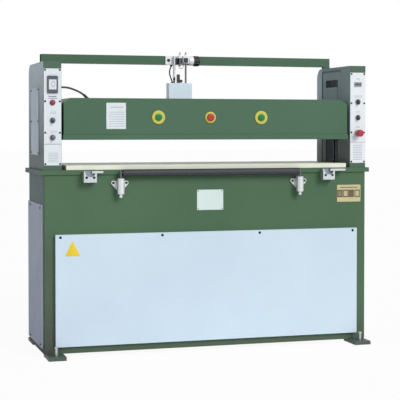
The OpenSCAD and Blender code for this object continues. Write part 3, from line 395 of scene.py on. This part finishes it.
def paintColumnLightAndShade(finish, spec):
    x, y, z = finish.axes("XYZ")
    height = z * spec["heightShare"] + finish.grain(spec["ragged"][0], 3) * spec["ragged"][1]
    # Outer sides: painted light, paler towards the top
    outer = finish.tint(finish.ramp(height, *spec["outerFade"]), spec["outerLow"], spec["outerTop"])
    # Inner faces: painted reflection, painted shade under the beam, a painted highlight at the back and painted
    # shade along the recess
    upper = finish.ramp(height, *spec["innerFade"])
    inner = finish.tint(upper, spec["innerShade"], spec["inner"])
    rimHighlight = upper * (1 - spec["rimLeast"]) + spec["rimLeast"]
    inner = finish.tint((y > spec["rimFrom"]) * rimHighlight, inner, spec["rim"])
    inner = finish.tint(recessShadeLine(finish, y, z, spec), inner, spec["recessShade"])
    side = finish.tint(x * x > spec["outerFrom"] ** 2, inner, outer)
    # A painted glow inside the column's hollow
    near, far, half, top = spec["hollowGlowBox"]
    within = (x * x > near ** 2) * (x * x < far ** 2) * (y * y < half ** 2) * (z < top)
    finish.give("Emission Color", finish.tint(within, (0, 0, 0, 1), spec["hollow"]))
    finish.give("Emission Strength", 1.0)
    finish.give("Base Color", finish.tint(sideways(finish), finish.paint, side))


framePaint = sprayPaint(greenSpec)
basePaint = sprayPaint(baseSpec)
dustAndSheenBase(basePaint, baseDustAndSheen)
columnPaint = sprayPaint(columnSpec)
paintColumnLightAndShade(columnPaint, columnLightAndShade)
footPaint = sprayPaint(footSpec)
coverPaint = sprayPaint(coverSpec)
litBoxPaint = sprayPaint(litBoxSpec)
bracketPaint = sprayPaint(bracketSpec)
platePaint = sprayPaint(plateSpec)
shadedSidePaint = sprayPaint(shadedSideSpec)
paintSideToneAndLitEdges(shadedSidePaint, sideToneAndLitEdges)
panelPaint = sprayPaint(panelSpec)

# Printed panels: rows of plain bars, and a line above the lower field
leftPrint = {
    "node": "left_control_panel",
    "sheet": {},
    "ink": fromPhoto(120, 124, 134),
    "pale": fromPhoto(186, 191, 200),
    "darkBars": [(-0.893, -0.851, 1.3805, 1.3855), (-0.899, -0.845, 1.3715, 1.3745)],
    "paleBars": [(-0.884, -0.852, 1.291, 1.307, 0.007), (-0.886, -0.85, 1.193, 1.205, 0.007),
                 (-0.895, -0.842, 1.037, 1.089, 0.0085)],
    "barFill": 0.45,
    "line": (-0.916, -0.828, 1.1305, 1.1335),
}
rightPrint = {
    "node": "right_control_panel",
    "sheet": {"low": fromPhoto(229, 234, 240), "high": fromPhoto(235, 240, 245)},
    "ink": fromPhoto(150, 154, 163),
    "pale": fromPhoto(188, 193, 201),
    "darkBars": [],
    "paleBars": [(0.862, 0.884, 1.491, 1.499, 0.005), (0.848, 0.9, 1.391, 1.403, 0.007),
                 (0.86, 0.885, 1.305, 1.313, 0.005), (0.858, 0.886, 1.219, 1.229, 0.005),
                 (0.842, 0.898, 1.037, 1.127, 0.0098)],
    "barFill": 0.45,
    "line": (0.828, 0.916, 1.1355, 1.1385),
}


def printedPanel(name, spec):
    finish = sprayPaint({**panelSpec, "name": name, **spec["sheet"]})
    x, y, z = finish.axes("XYZ")
    front = y < frontOf(spec["node"]) + skin
    dark = inside(x, z, spec["line"])
    for box in spec["darkBars"]:
        dark = dark + inside(x, z, box)
    pale = 0
    for bars in spec["paleBars"]:
        pale = barRows(finish, x, z, bars, spec["barFill"]) + pale
    shown = finish.tint(pale * front, finish.paint, spec["pale"])
    finish.give("Base Color", finish.tint(dark * front, shown, spec["ink"]))
    return finish


leftPanelPrint = printedPanel("leftPanelPrint", leftPrint)
rightPanelPrint = printedPanel("rightPanelPrint", rightPrint)

# Moulded parts
plasticGrain = {
    "ior": 1.47,
    "cloud": 60,
    "shade": 0.9,
    "smear": 220,
    "roughMore": 0.12,
    "stipple": 900,
    "depth": 0.00003,
}


def mouldedPlastic(name, colour, rough, coat=0.0):
    finish = Finish(name, {"IOR": plasticGrain["ior"], "Coat Weight": coat})
    cloud = finish.ramp(finish.grain(plasticGrain["cloud"], 3))
    finish.paint = finish.tint(cloud, shaded(colour, plasticGrain["shade"]), colour)
    finish.give("Base Color", finish.paint)
    finish.give("Roughness", rough + finish.grain(plasticGrain["smear"], 3) * plasticGrain["roughMore"])
    finish.relief(finish.grain(plasticGrain["stipple"]), plasticGrain["depth"])
    return finish


knobSpec = {"skirt": fromPhoto(112, 116, 122), "gripFrom": -0.2545, "rough": 0.32}


def selectorPlastic(name, colour):  # grey skirt under a darker grip
    finish = mouldedPlastic(name, colour, knobSpec["rough"])
    (y,) = finish.axes("Y")
    finish.give("Base Color", finish.tint(y < knobSpec["gripFrom"], knobSpec["skirt"], finish.paint))
    return finish


blackPlastic = mouldedPlastic("blackPlastic", fromPhoto(38, 39, 43), 0.34)
greyPlastic = mouldedPlastic("greyPlastic", fromPhoto(118, 122, 127), 0.36)
redPlastic = mouldedPlastic("redPlastic", fromPhoto(184, 44, 54), 0.3)
greenPlastic = mouldedPlastic("greenPlastic", fromPhoto(10, 122, 62), 0.34)
collarPlastic = mouldedPlastic("collarPlastic", fromPhoto(148, 150, 158), 0.36)
orangeRed = mouldedPlastic("orangeRed", fromPhoto(178, 52, 34), 0.34)
yellowPlastic = mouldedPlastic("yellowPlastic", fromPhoto(207, 203, 86), 0.3)
lampPlastic = mouldedPlastic("lampPlastic", fromPhoto(150, 40, 80), 0.24, 0.3)
bezelPlastic = mouldedPlastic("bezelPlastic", fromPhoto(82, 84, 98), 0.4)
lockPlastic = mouldedPlastic("lockPlastic", fromPhoto(30, 32, 35), 0.36)
cableSheath = mouldedPlastic("cableSheath", fromPhoto(62, 64, 66), 0.5)
knobBlack = selectorPlastic("knobBlack", fromPhoto(34, 36, 42))
knobGrey = selectorPlastic("knobGrey", fromPhoto(92, 96, 103))

# Machined and cast metal
brushGrain = {
    "stroke": 60,
    "contrast": (0.25, 0.75),
    "shade": 0.8,
    "smear": 14,
    "roughMore": 0.1,
}


def brushedMetal(name, colour, rough, stretch, depth=0.00002):
    finish = Finish(name, {"Metallic": 1.0})
    stroke = finish.grain(brushGrain["stroke"], 3, stretch)
    smear = finish.grain(brushGrain["smear"], 3)
    worn = finish.ramp(stroke, *brushGrain["contrast"])
    finish.give("Base Color", finish.tint(worn, shaded(colour, brushGrain["shade"]), colour))
    finish.give("Roughness", rough + stroke * brushGrain["roughMore"] + smear * brushGrain["roughMore"])
    finish.relief(stroke, depth)
    return finish


brightSteel = brushedMetal("brightSteel", fromPhoto(196, 199, 202), 0.22, (12, 12, 1))
darkSteel = brushedMetal("darkSteel", fromPhoto(58, 60, 63), 0.36, (4, 4, 4))
rodNitrided = brushedMetal("rodNitrided", fromPhoto(78, 82, 86), 0.34, (16, 16, 1), 0.000005)
screwBlack = brushedMetal("screwBlack", fromPhoto(38, 46, 54), 0.42, (4, 4, 4))
pinSteel = brushedMetal("pinSteel", fromPhoto(126, 128, 133), 0.34, (12, 12, 1))
greyIron = brushedMetal("greyIron", fromPhoto(118, 122, 124), 0.5, (3, 3, 3), 0.0001)
liftSteel = brushedMetal("liftSteel", fromPhoto(105, 108, 112), 0.36, (12, 12, 1), 0.000005)
shaftSteel = brushedMetal("shaftSteel", fromPhoto(188, 191, 194), 0.26, (1, 12, 12))

castSpec = {
    "bright": fromPhoto(222, 225, 226),
    "dull": fromPhoto(206, 209, 211),
    "metallic": 0.75,
    "castGrain": 180,
    "rough": 0.3,
    "roughMore": 0.16,
    "depth": 0.00006,
}
guideSpec = {
    **castSpec,
    "bright": fromPhoto(202, 208, 211),
    "dull": fromPhoto(188, 194, 198),
    # painted shade in the pocket
    "pocket": fromPhoto(140, 147, 156),
    "pocketAt": (0.679, 0.985),  # out from the middle, and up
    "pocketReach": 0.0285,
}


def castAlloy(name, spec):
    finish = Finish(name, {"Metallic": spec["metallic"]})
    cast = finish.grain(spec["castGrain"], 4)
    finish.paint = finish.tint(finish.ramp(cast), spec["dull"], spec["bright"])
    finish.give("Base Color", finish.paint)
    finish.give("Roughness", spec["rough"] + cast * spec["roughMore"])
    finish.relief(cast, spec["depth"])
    return finish


def shadePockets(finish, spec):  # painted shade: darker grey in the round pocket behind the front of each bracket
    x, y, z = finish.axes("XYZ")
    across = x.maths("ABSOLUTE", x, 0) - spec["pocketAt"][0]
    up = z - spec["pocketAt"][1]
    near = across * across + up * up < spec["pocketReach"] ** 2
    behind = y > frontOf("guide_brackets") + skin
    finish.give("Base Color", finish.tint(near * behind, finish.paint, spec["pocket"]))


alloy = castAlloy("castAlloy", castSpec)
pocketAlloy = castAlloy("pocketAlloy", guideSpec)
shadePockets(pocketAlloy, guideSpec)

padSpec = {
    "body": fromPhoto(227, 231, 212),
    "pale": fromPhoto(234, 237, 221),
    "cloud": 5,
    "cut": fromPhoto(188, 191, 176),
    "cuts": [(0.5, 130), (-0.7, 110), (1.4, 150), (2.2, 120)],  # turn and closeness of knife marks
    "cutStretch": (1, 0.06, 1),
    "cutShare": 0.7,  # noise above this is a mark
    "cutShows": 0.45,
    "cutDepth": 0.00008,
    "smear": 120,
    "rough": 0.33,
    "roughMore": 0.14,
}


def nylonBoard(spec):
    finish = Finish("padNylon", {"IOR": 1.53})
    shown = finish.tint(finish.ramp(finish.grain(spec["cloud"], 4)), spec["body"], spec["pale"])
    marks = 0
    for turn, scale in spec["cuts"]:
        streak = finish.grain(scale, 1, spec["cutStretch"], turn)
        marks = (streak > spec["cutShare"]) + marks
    (z,) = finish.axes("Z")
    marks = marks * (z > topOf("cutting_pad") - skin)
    finish.give("Base Color", finish.tint(marks * spec["cutShows"], shown, spec["cut"]))
    finish.give("Roughness", spec["rough"] + finish.grain(spec["smear"], 3) * spec["roughMore"])
    finish.relief(1 - marks, spec["cutDepth"])
    return finish


padNylon = nylonBoard(padSpec)

rollerSpec = {
    "body": fromPhoto(43, 45, 51),
    "worn": fromPhoto(53, 55, 61),
    "ring": 12,
    "ringStretch": (6, 0.4, 0.4),
    "wear": (0.35, 0.7),
    "rough": 0.5,
    "roughMore": 0.2,
    "depth": 0.00008,
}


def rollerSkin(spec):
    finish = Finish("rollerSkin", {"IOR": 1.5})
    ring = finish.grain(spec["ring"], 3, spec["ringStretch"])
    finish.give("Base Color", finish.tint(finish.ramp(ring, *spec["wear"]), spec["body"], spec["worn"]))
    finish.give("Roughness", spec["rough"] + ring * spec["roughMore"])
    finish.relief(ring, spec["depth"])
    return finish


rollerRubber = rollerSkin(rollerSpec)

screenSpec = {
    "paper": fromPhoto(226, 229, 236),
    "mark": fromPhoto(172, 176, 188),
    "markShows": 0.8,
    "centre": (-0.869, 1.448),
    "reach": (0.0105, 0.017),
    "hollow": 0.42,  # square of the share that the nought's hole takes
    "haze": 40,
    "hazeFade": (0.3, 0.8),
    "hazeShows": 0.15,
}


def timerGlass(spec):  # pale display with one plain nought
    finish = Finish("timerGlass", {"IOR": 1.45, "Coat Weight": 0.6, "Roughness": 0.25})
    x, z = finish.axes("XZ")
    across = (x - spec["centre"][0]) * (1 / spec["reach"][0])
    up = (z - spec["centre"][1]) * (1 / spec["reach"][1])
    far = across * across + up * up
    nought = (far < 1) * (far > spec["hollow"]) * spec["markShows"]
    haze = finish.ramp(finish.grain(spec["haze"], 3), *spec["hazeFade"]) * spec["hazeShows"]
    finish.give("Base Color", finish.tint(nought + haze, spec["paper"], spec["mark"]))
    return finish


timerFace = timerGlass(screenSpec)

counterSpec = {
    "case": fromPhoto(142, 146, 150),
    "rough": 0.3,
    "wheel": fromPhoto(44, 46, 50),
    "wheels": (0.859, 0.8675, 0.876, 0.8845),
    "half": (0.0031, 0.0052),
    "centreZ": 1.464,
}


def counterGlass(spec):  # grey case with a row of dark blank wheels
    finish = mouldedPlastic("counterGlass", spec["case"], spec["rough"])
    x, y, z = finish.axes("XYZ")
    halfX, halfZ = spec["half"]
    wheels = 0
    for centre in spec["wheels"]:
        box = (centre - halfX, centre + halfX, spec["centreZ"] - halfZ, spec["centreZ"] + halfZ)
        wheels = inside(x, z, box) + wheels
    front = y < frontOf("counter_window") + skin
    finish.give("Base Color", finish.tint(wheels * front, finish.paint, spec["wheel"]))
    return finish


counterFace = counterGlass(counterSpec)
print("finishes mixed")

slotFinish = {
    "frame_paint": framePaint,
    "cover_paint": coverPaint,
    "side_paint": shadedSidePaint,
    "panel_paint": panelPaint,
    "pad_plastic": padNylon,
    "dark_steel": darkSteel,
    "bright_steel": brightSteel,
    "rod_chrome": rodNitrided,
    "alloy": alloy,
    "grey_iron": greyIron,
    "black_plastic": blackPlastic,
    "grey_plastic": greyPlastic,
    "red_plastic": redPlastic,
    "green_plastic": greenPlastic,
    "yellow_plastic": yellowPlastic,
    "screen": timerFace,
    "roller_rubber": rollerRubber,
    "cable_pvc": cableSheath,
}
ownFinish = {  # nodes that differ from their slot's finish
    "foot_plates": footPaint,
    "corner_posts": basePaint,
    "base_sills": basePaint,
    "base_aprons": basePaint,
    "floor_pan": basePaint,
    "table_plate": basePaint,
    "left_slider": columnPaint,
    "right_slider": columnPaint,
    "left_column": columnPaint,
    "right_column": columnPaint,
    "column_side_plates": platePaint,
    "left_control_panel": leftPanelPrint,
    "right_control_panel": rightPanelPrint,
    "counter_window": counterFace,
    "power_lamp": lampPlastic,
    "timer_bezel": bezelPlastic,
    "stop_collar": collarPlastic,
    "stop_button": orangeRed,
    "left_upper_knob": knobBlack,
    "right_upper_knob": knobBlack,
    "right_lower_knob": knobBlack,
    "left_lower_knob": knobGrey,
    "guide_brackets": pocketAlloy,
    "lift_rods": liftSteel,
    "setting_box": litBoxPaint,
    "setting_bracket": bracketPaint,
    "setting_rod": pinSteel,
    "trip_pin": pinSteel,
    "lock_knob": lockPlastic,
    "box_stud": darkSteel,
    "cover_screws": screwBlack,
    "sync_shaft": shaftSteel,
}


def dressNodes():
    for part in frame["record"]["subparts"]:
        node = part["node"]
        finish = ownFinish.get(node, slotFinish[part["material_slot"]])
        mesh = nodes[node].data
        mesh.materials.clear()
        mesh.materials.append(finish.material)


dressNodes()
print("nodes dressed")

softEdges = {  # millimetres taken off sharp edges
    "foot_plates": 1.5,
    "corner_posts": 0.6,
    "base_sills": 1.5,
    "table_plate": 2.5,
    "front_cover": 3,
    "press_plate": 1.5,
    "beam_shell": 2,
    "cutting_pad": 1.5,
    "cross_bar": 1.2,
    "setting_box": 0.5,
    "guide_brackets": 0.8,
    "timer_bezel": 0.8,
}
edgeTools = {
    "weld": 0.00001,
    "flatAngle": math.radians(1),
    "sharpAngle": math.radians(35),
    "steps": 3,
    "weight": 100,
}


def softenEdges(spec, tools):
    for node, width in spec.items():
        part = nodes[node]
        weld = part.modifiers.new("weld", "WELD")
        weld.merge_threshold = tools["weld"]
        flat = part.modifiers.new("flat", "DECIMATE")
        flat.decimate_type = "DISSOLVE"
        flat.angle_limit = tools["flatAngle"]
        soft = part.modifiers.new("soft", "BEVEL")
        soft.width = width * mm
        soft.segments = tools["steps"]
        soft.limit_method = "ANGLE"
        soft.angle_limit = tools["sharpAngle"]
        even = part.modifiers.new("even", "WEIGHTED_NORMAL")  # flat faces stay flat beside the rounding
        even.weight = tools["weight"]


softenEdges(softEdges, edgeTools)
print("edges softened")


# Cords, along the routes of the solids that they stand for
def smoothRoute(route, perStep):  # a smooth curve through the points of a route
    p = [Vector(q) * mm for q in route]
    last = len(p) - 1
    points = []
    for i in range(last):
        a, b, c, d = p[max(i - 1, 0)], p[i], p[i + 1], p[min(i + 2, last)]
        for k in range(perStep):
            t = k / perStep
            points.append(0.5 * (2 * b + (c - a) * t + (2 * a - 5 * b + 4 * c - d) * t ** 2
                                 + (3 * b - a - 3 * c + d) * t ** 3))
    return points + [p[last]]


def layCord(spec):
    points = smoothRoute(spec["route"], spec["perStep"])
    curve = bpy.data.curves.new(spec["name"], "CURVE")
    curve.dimensions = "3D"
    curve.bevel_depth = spec["diameter"] / 2
    curve.bevel_resolution = spec["roundSteps"]
    curve.use_fill_caps = True
    spline = curve.splines.new("POLY")
    spline.points.add(len(points) - 1)
    for k, point in enumerate(points):
        spline.points[k].co = (*point, 1)
        spline.points[k].radius = spec["swell"][k % len(spec["swell"])]
    bent = bpy.data.objects.new(spec["name"] + "Line", curve)
    scene.collection.objects.link(bent)
    mesh = bpy.data.meshes.new_from_object(bent.evaluated_get(bpy.context.evaluated_depsgraph_get()))
    bpy.data.objects.remove(bent)
    mesh.shade_smooth()
    mesh.materials.clear()
    mesh.materials.append(cableSheath.material)
    piece = bpy.data.objects.new(spec["name"], mesh)
    scene.collection.objects.link(piece)
    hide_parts(spec["node"])
    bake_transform(piece)
    print(spec["name"], "runs", round(sum((b - a).length for a, b in zip(points, points[1:])), 4), "m")


conduitCord = {
    "name": "beamConduit",
    "node": "conduit",
    "route": [(-816, -150, 1435), (-790, -150, 1435), (-762, -150, 1431), (-735, -150, 1422),
              (-708, -150, 1410), (-685, -150, 1396)],
    "perStep": 24,
    "roundSteps": 5,
    "swell": (1.0, 0.99, 0.91, 0.99),  # ribs of the bendy conduit
    "diameter": 0.011,
    "length": 0.139,
    "stiffness": "medium",
    "lay": "loose",
}
settingCable = {
    "name": "settingCable",
    "node": "switch_cable",
    "route": [(-112, 160, 1572), (-122, 152, 1553), (-128, 135, 1527), (-125, 115, 1499),
              (-121, 105, 1478)],
    "perStep": 10,
    "roundSteps": 5,
    "swell": (1.0,),
    "diameter": 0.008,
    "length": 0.113,
    "stiffness": "medium",
    "lay": "hanging",
}
layCord(conduitCord)
layCord(settingCable)
print("cords laid")

# Plates, built straight on the walls that carry them
meshTools = {
    "merge": 1e-7,
    "sharpAngle": math.radians(35),
    "facing": 0.9,  # least share of a normal that points to the front
    "cornerSteps": 5,
    "edgeSteps": 2,
    "headSteps": 20,
}


def standPiece(name, bm, finishes, body):
    bmesh.ops.remove_doubles(bm, verts=bm.verts[:], dist=meshTools["merge"])
    bmesh.ops.recalc_face_normals(bm, faces=bm.faces[:])
    mesh = bpy.data.meshes.new(name)
    bm.to_mesh(mesh)
    bm.free()
    mesh.shade_smooth()
    mesh.set_sharp_from_angle(angle=meshTools["sharpAngle"])
    for finish in finishes:
        mesh.materials.append(finish.material)
    piece = bpy.data.objects.new(name, mesh)
    scene.collection.objects.link(piece)
    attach(piece, body)


def frontFace(bm):  # the largest face towards the front
    bm.normal_update()
    return max((f for f in bm.faces if f.normal.y < -meshTools["facing"]), key=lambda f: f.calc_area())


def addSlab(bm, low, high):
    fit = Matrix.Translation((low + high) / 2) @ Matrix.Diagonal((*(high - low), 1))
    bmesh.ops.create_cube(bm, size=1, matrix=fit)


def roundOff(bm, parts, width, steps, affect="EDGES"):
    bmesh.ops.bevel(bm, geom=parts, offset=width, affect=affect, segments=steps, profile=0.5, material=-1)


def spinRound(bm, section, centre, steps):  # a full turn about a line from front to back
    bmesh.ops.spin(bm, geom=section, cent=centre, axis=(0, 1, 0), steps=steps, angle=math.tau, use_merge=True)


def flatPlate(bm, spec):  # rounded corners, soft edge, a shallow field inside the rim
    wall = frontOf(spec["on"])
    thick = spec["thick"] * mm
    low = Vector((spec["x"][0] * mm, wall - thick, spec["z"][0] * mm))
    high = Vector((spec["x"][1] * mm, wall, spec["z"][1] * mm))
    addSlab(bm, low, high)
    corners = [e for e in bm.edges if abs(e.verts[0].co.y - e.verts[1].co.y) > thick / 2]
    roundOff(bm, corners, spec["corner"] * mm, meshTools["cornerSteps"])
    roundOff(bm, list(frontFace(bm).edges), thick / 4, meshTools["edgeSteps"])
    bmesh.ops.inset_region(bm, faces=[frontFace(bm)], thickness=spec["rim"] * mm, depth=-spec["sink"] * mm)


def domedHead(bm, centre, radius, height):  # rivet head towards the front
    rise = [(0, 1), (0.5, 0.9), (0.86, 0.5), (1, 0), (1, -0.2), (0, -0.2)]  # foot sunk into the plate
    profile = [bm.verts.new(centre + Vector((r * radius, -h * height, 0))) for r, h in rise]
    line = [bm.edges.new(pair) for pair in zip(profile, profile[1:])]
    spinRound(bm, profile + line, centre, meshTools["headSteps"])


def rivetedPlate(name, spec, face):
    bm = bmesh.new()
    flatPlate(bm, spec)
    plateFaces = len(bm.faces)
    seat = frontOf(spec["on"]) - (spec["thick"] - spec["sink"]) * mm
    for x in (spec["x"][0] + spec["rivetIn"], spec["x"][1] - spec["rivetIn"]):
        for z in (spec["z"][0] + spec["rivetIn"], spec["z"][1] - spec["rivetIn"]):
            centre = Vector((x * mm, seat, z * mm))
            domedHead(bm, centre, spec["rivetRadius"] * mm, spec["rivetHeight"] * mm)
    bm.faces.ensure_lookup_table()
    for head in bm.faces[plateFaces:]:
        head.material_index = 1
    rivets = brushedMetal(name + "Rivets", spec["rivetColour"], 0.3, (3, 3, 3))
    standPiece(name, bm, [face, rivets], "frame")


namePlate = {  # lengths of the plates are in millimetres
    "on": "base_aprons",
    "x": (-78, 72),
    "z": (769, 880),
    "thick": 1.6,
    "corner": 5,
    "rim": 3.5,
    "sink": 0.3,
    "rivetIn": 7,
    "rivetRadius": 3.4,
    "rivetHeight": 1.5,
    "rivetColour": fromPhoto(98, 116, 106),
}
enamelSpec = {
    **panelSpec,
    "name": "plateEnamel",
    "low": fromPhoto(213, 230, 227),
    "high": fromPhoto(221, 237, 234),
}
rivetedPlate("namePlate", namePlate, sprayPaint(enamelSpec))

ratingPlate = {
    "on": "base_aprons",
    "x": (747, 891),
    "z": (800, 896),
    "thick": 1.4,
    "corner": 3,
    "rim": 2.5,
    "sink": 0.25,
    "rivetIn": 6,
    "rivetRadius": 2.2,
    "rivetHeight": 1.3,
    "rivetColour": fromPhoto(176, 180, 182),
    "gold": fromPhoto(186, 178, 132),
    "goldPale": fromPhoto(196, 188, 146),
    "field": fromPhoto(82, 70, 56),
    "fieldSize": (33, 42),
    "fieldRim": (5, 6),
    "fieldZ": 847,
    "fields": {764.6: 0.7, 799.8: 0.1, 834: 0.9, 870.6: 0.1},  # centre and how full its middle is
    "bar": (766, 872, 879, 883),  # left, right, low, high
    "metallic": 0.25,
    "stroke": 30,
    "strokeStretch": (1, 1, 8),
    "smear": 60,
    "rough": 0.4,
    "roughMore": 0.15,
}


def fieldBox(spec, centre, wide, tall):
    box = (centre - wide, centre + wide, spec["fieldZ"] - tall, spec["fieldZ"] + tall)
    return [edge * mm for edge in box]


def goldPrint(spec):  # plain square fields and one bar
    finish = Finish("goldPrint", {"Metallic": spec["metallic"]})
    stroke = finish.ramp(finish.grain(spec["stroke"], 3, spec["strokeStretch"]))
    shown = finish.tint(stroke, spec["gold"], spec["goldPale"])
    x, z = finish.axes("XZ")
    marks = inside(x, z, [edge * mm for edge in spec["bar"]])
    for centre, full in spec["fields"].items():
        wide, tall = spec["fieldSize"][0] / 2, spec["fieldSize"][1] / 2
        marks = marks + inside(x, z, fieldBox(spec, centre, wide, tall))
        core = fieldBox(spec, centre, wide - spec["fieldRim"][0], tall - spec["fieldRim"][1])
        marks = marks - inside(x, z, core) * (1 - full)
    finish.give("Base Color", finish.tint(marks, shown, spec["field"]))
    finish.give("Roughness", spec["rough"] + finish.grain(spec["smear"]) * spec["roughMore"])
    return finish


rivetedPlate("ratingPlate", ratingPlate, goldPrint(ratingPlate))

beamLabel = {
    "on": "beam_shell",
    "x": (-581, -474),
    "z": (1212, 1352),
    "thick": 0.8,
    "corner": 3,
    "rim": 2,
    "sink": 0.15,
    "paper": fromPhoto(229, 235, 240),
    "rough": 0.42,
    "ink": fromPhoto(186, 195, 207),
    "inkShows": 0.9,
    "bars": [(-568, -480, 1225, 1312, 12.4), (-560, -488, 1324, 1342, 18)],
    "barFill": 0.4,
}


def labelPrint(spec):
    finish = mouldedPlastic("labelPrint", spec["paper"], spec["rough"])
    x, z = finish.axes("XZ")
    marks = 0
    for bars in spec["bars"]:
        marks = barRows(finish, x, z, [edge * mm for edge in bars], spec["barFill"]) + marks
    finish.give("Base Color", finish.tint(marks * spec["inkShows"], finish.paint, spec["ink"]))
    return finish


labelMesh = bmesh.new()
flatPlate(labelMesh, beamLabel)
standPiece("beamLabel", labelMesh, [labelPrint(beamLabel)], "beam")

yellowTriangle = {
    "on": "front_cover",
    "corners": [(-811, 539), (-729, 539), (-770, 621)],
    "thick": 0.8,
    "round": 7,
    "colour": fromPhoto(238, 208, 40),
    "rough": 0.4,
}


def trianglePlate(spec):
    bm = bmesh.new()
    wall = frontOf(spec["on"])
    thick = spec["thick"] * mm
    corners = [bm.verts.new((x * mm, wall, z * mm)) for x, z in spec["corners"]]
    bm.faces.new(corners)
    roundOff(bm, corners, spec["round"] * mm, meshTools["cornerSteps"], "VERTICES")
    grown = bmesh.ops.extrude_face_region(bm, geom=bm.faces[:])
    lifted = [v for v in grown["geom"] if isinstance(v, bmesh.types.BMVert)]
    bmesh.ops.translate(bm, verts=lifted, vec=(0, -thick, 0))
    bmesh.ops.recalc_face_normals(bm, faces=bm.faces[:])
    roundOff(bm, list(frontFace(bm).edges), thick / 3, meshTools["edgeSteps"])
    paint = mouldedPlastic("triangleYellow", spec["colour"], spec["rough"])
    standPiece("trianglePlate", bm, [paint], "frame")


trianglePlate(yellowTriangle)

coverWasher = {
    "on": "front_cover",
    "section": [(5.1, 0), (5.1, 0.9), (5.8, 1.4), (6.6, 1.2), (7.2, 0.5), (7.2, 0)],  # radius, height
    "fromSide": 26,
    "fromTop": 14,
    "count": 4,
    "steps": 24,
}


def coverWashers(spec):  # cup washers round the heads of the front cover's screws
    low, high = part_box(spec["on"])
    reach = high[0] - spec["fromSide"] * mm
    bm = bmesh.new()
    for k in range(spec["count"]):
        x = reach * (2 * k / (spec["count"] - 1) - 1)
        centre = Vector((x, low[1], high[2] - spec["fromTop"] * mm))
        ring = [bm.verts.new(centre + Vector((r, -h, 0)) * mm) for r, h in spec["section"]]
        line = [bm.edges.new(pair) for pair in zip(ring, ring[1:] + ring[:1])]
        spinRound(bm, ring + line, centre, spec["steps"])
    standPiece("coverWashers", bm, [screwBlack], "frame")


coverWashers(coverWasher)
print("plates set")

pointerLine = {
    "knobs": ("left_upper_knob", "left_lower_knob", "right_upper_knob", "right_lower_knob"),
    "width": 1.8,
    "reach": (2.5, 13),  # up from the knob's middle
    "proud": 0.35,
    "colour": fromPhoto(228, 230, 233),
    "rough": 0.4,
}


def knobPointers(spec):
    white = mouldedPlastic("pointerWhite", spec["colour"], spec["rough"])
    pivots = {joint["child"]: joint.get("pos_m") for joint in frame["joints"]}
    half = spec["width"] * mm / 2
    proud = spec["proud"] * mm
    for knob in spec["knobs"]:
        x, z = pivots[knob][0], pivots[knob][2]
        face = frontOf(knob)
        bm = bmesh.new()
        low = Vector((x - half, face - proud, z + spec["reach"][0] * mm))
        high = Vector((x + half, face, z + spec["reach"][1] * mm))
        addSlab(bm, low, high)
        roundOff(bm, list(frontFace(bm).edges), proud / 2, meshTools["edgeSteps"])
        standPiece(knob + "Pointer", bm, [white], knob)


knobPointers(pointerLine)
print("pointers set")

# Pale studio
studio = {
    "floorSize": 60,
    "floorWhite": (0.93, 0.93, 0.93, 1),
    "floorRough": 0.9,
    "floorGlow": 0.94,
    "ambient": 0.4,
    "keyStrength": 1.9,
    "keySoftness": 0.5,
    "keyFrom": (0.42, -0.8, 0.55),
}


def seenRays(maker):  # 1 for the rays that show the background
    camera, glossy, through = maker.add("ShaderNodeLightPath", {}, {},
                                        ("Is Camera Ray", "Is Glossy Ray", "Is Transmission Ray"))
    return camera.maths("MAXIMUM", camera.maths("MAXIMUM", camera, glossy), through)


def setSky(spec):
    world = bpy.data.worlds.new("studio")
    world.use_nodes = True
    scene.world = world
    maker = NodeMaker(world.node_tree)
    sky = world.node_tree.nodes["Background"]
    sky.inputs["Color"].default_value = (1, 1, 1, 1)
    maker.feed(sky.inputs["Strength"], spec["ambient"] + seenRays(maker) * (1 - spec["ambient"]))


def setFloor(spec):
    bm = bmesh.new()
    bmesh.ops.create_grid(bm, x_segments=2, y_segments=2, size=spec["floorSize"])
    mesh = bpy.data.meshes.new("floor")
    bm.to_mesh(mesh)
    bm.free()
    floor = bpy.data.objects.new("floor", mesh)
    scene.collection.objects.link(floor)
    finish = Finish("floorPale", {"Base Color": spec["floorWhite"], "Roughness": spec["floorRough"]})
    finish.give("Specular IOR Level", 0.0)
    glow = finish.add("ShaderNodeEmission", {}, {"Color": (1, 1, 1, 1), "Strength": 1.0})
    matt = Sock(finish, finish.shader.outputs[0])
    share = seenRays(finish) * spec["floorGlow"]
    mixed = finish.add("ShaderNodeMixShader", {}, {0: share, 1: matt, 2: glow})
    finish.feed(finish.tree.nodes["Material Output"].inputs["Surface"], mixed)
    mesh.materials.append(finish.material)


def setKeyLight(spec):
    data = bpy.data.lights.new("key", "SUN")
    data.energy = spec["keyStrength"]
    data.angle = spec["keySoftness"]
    key = bpy.data.objects.new("key", data)
    key.rotation_euler = Vector(spec["keyFrom"]).to_track_quat("Z", "Y").to_euler()
    scene.collection.objects.link(key)


setSky(studio)
setFloor(studio)
setKeyLight(studio)
print("studio lit")
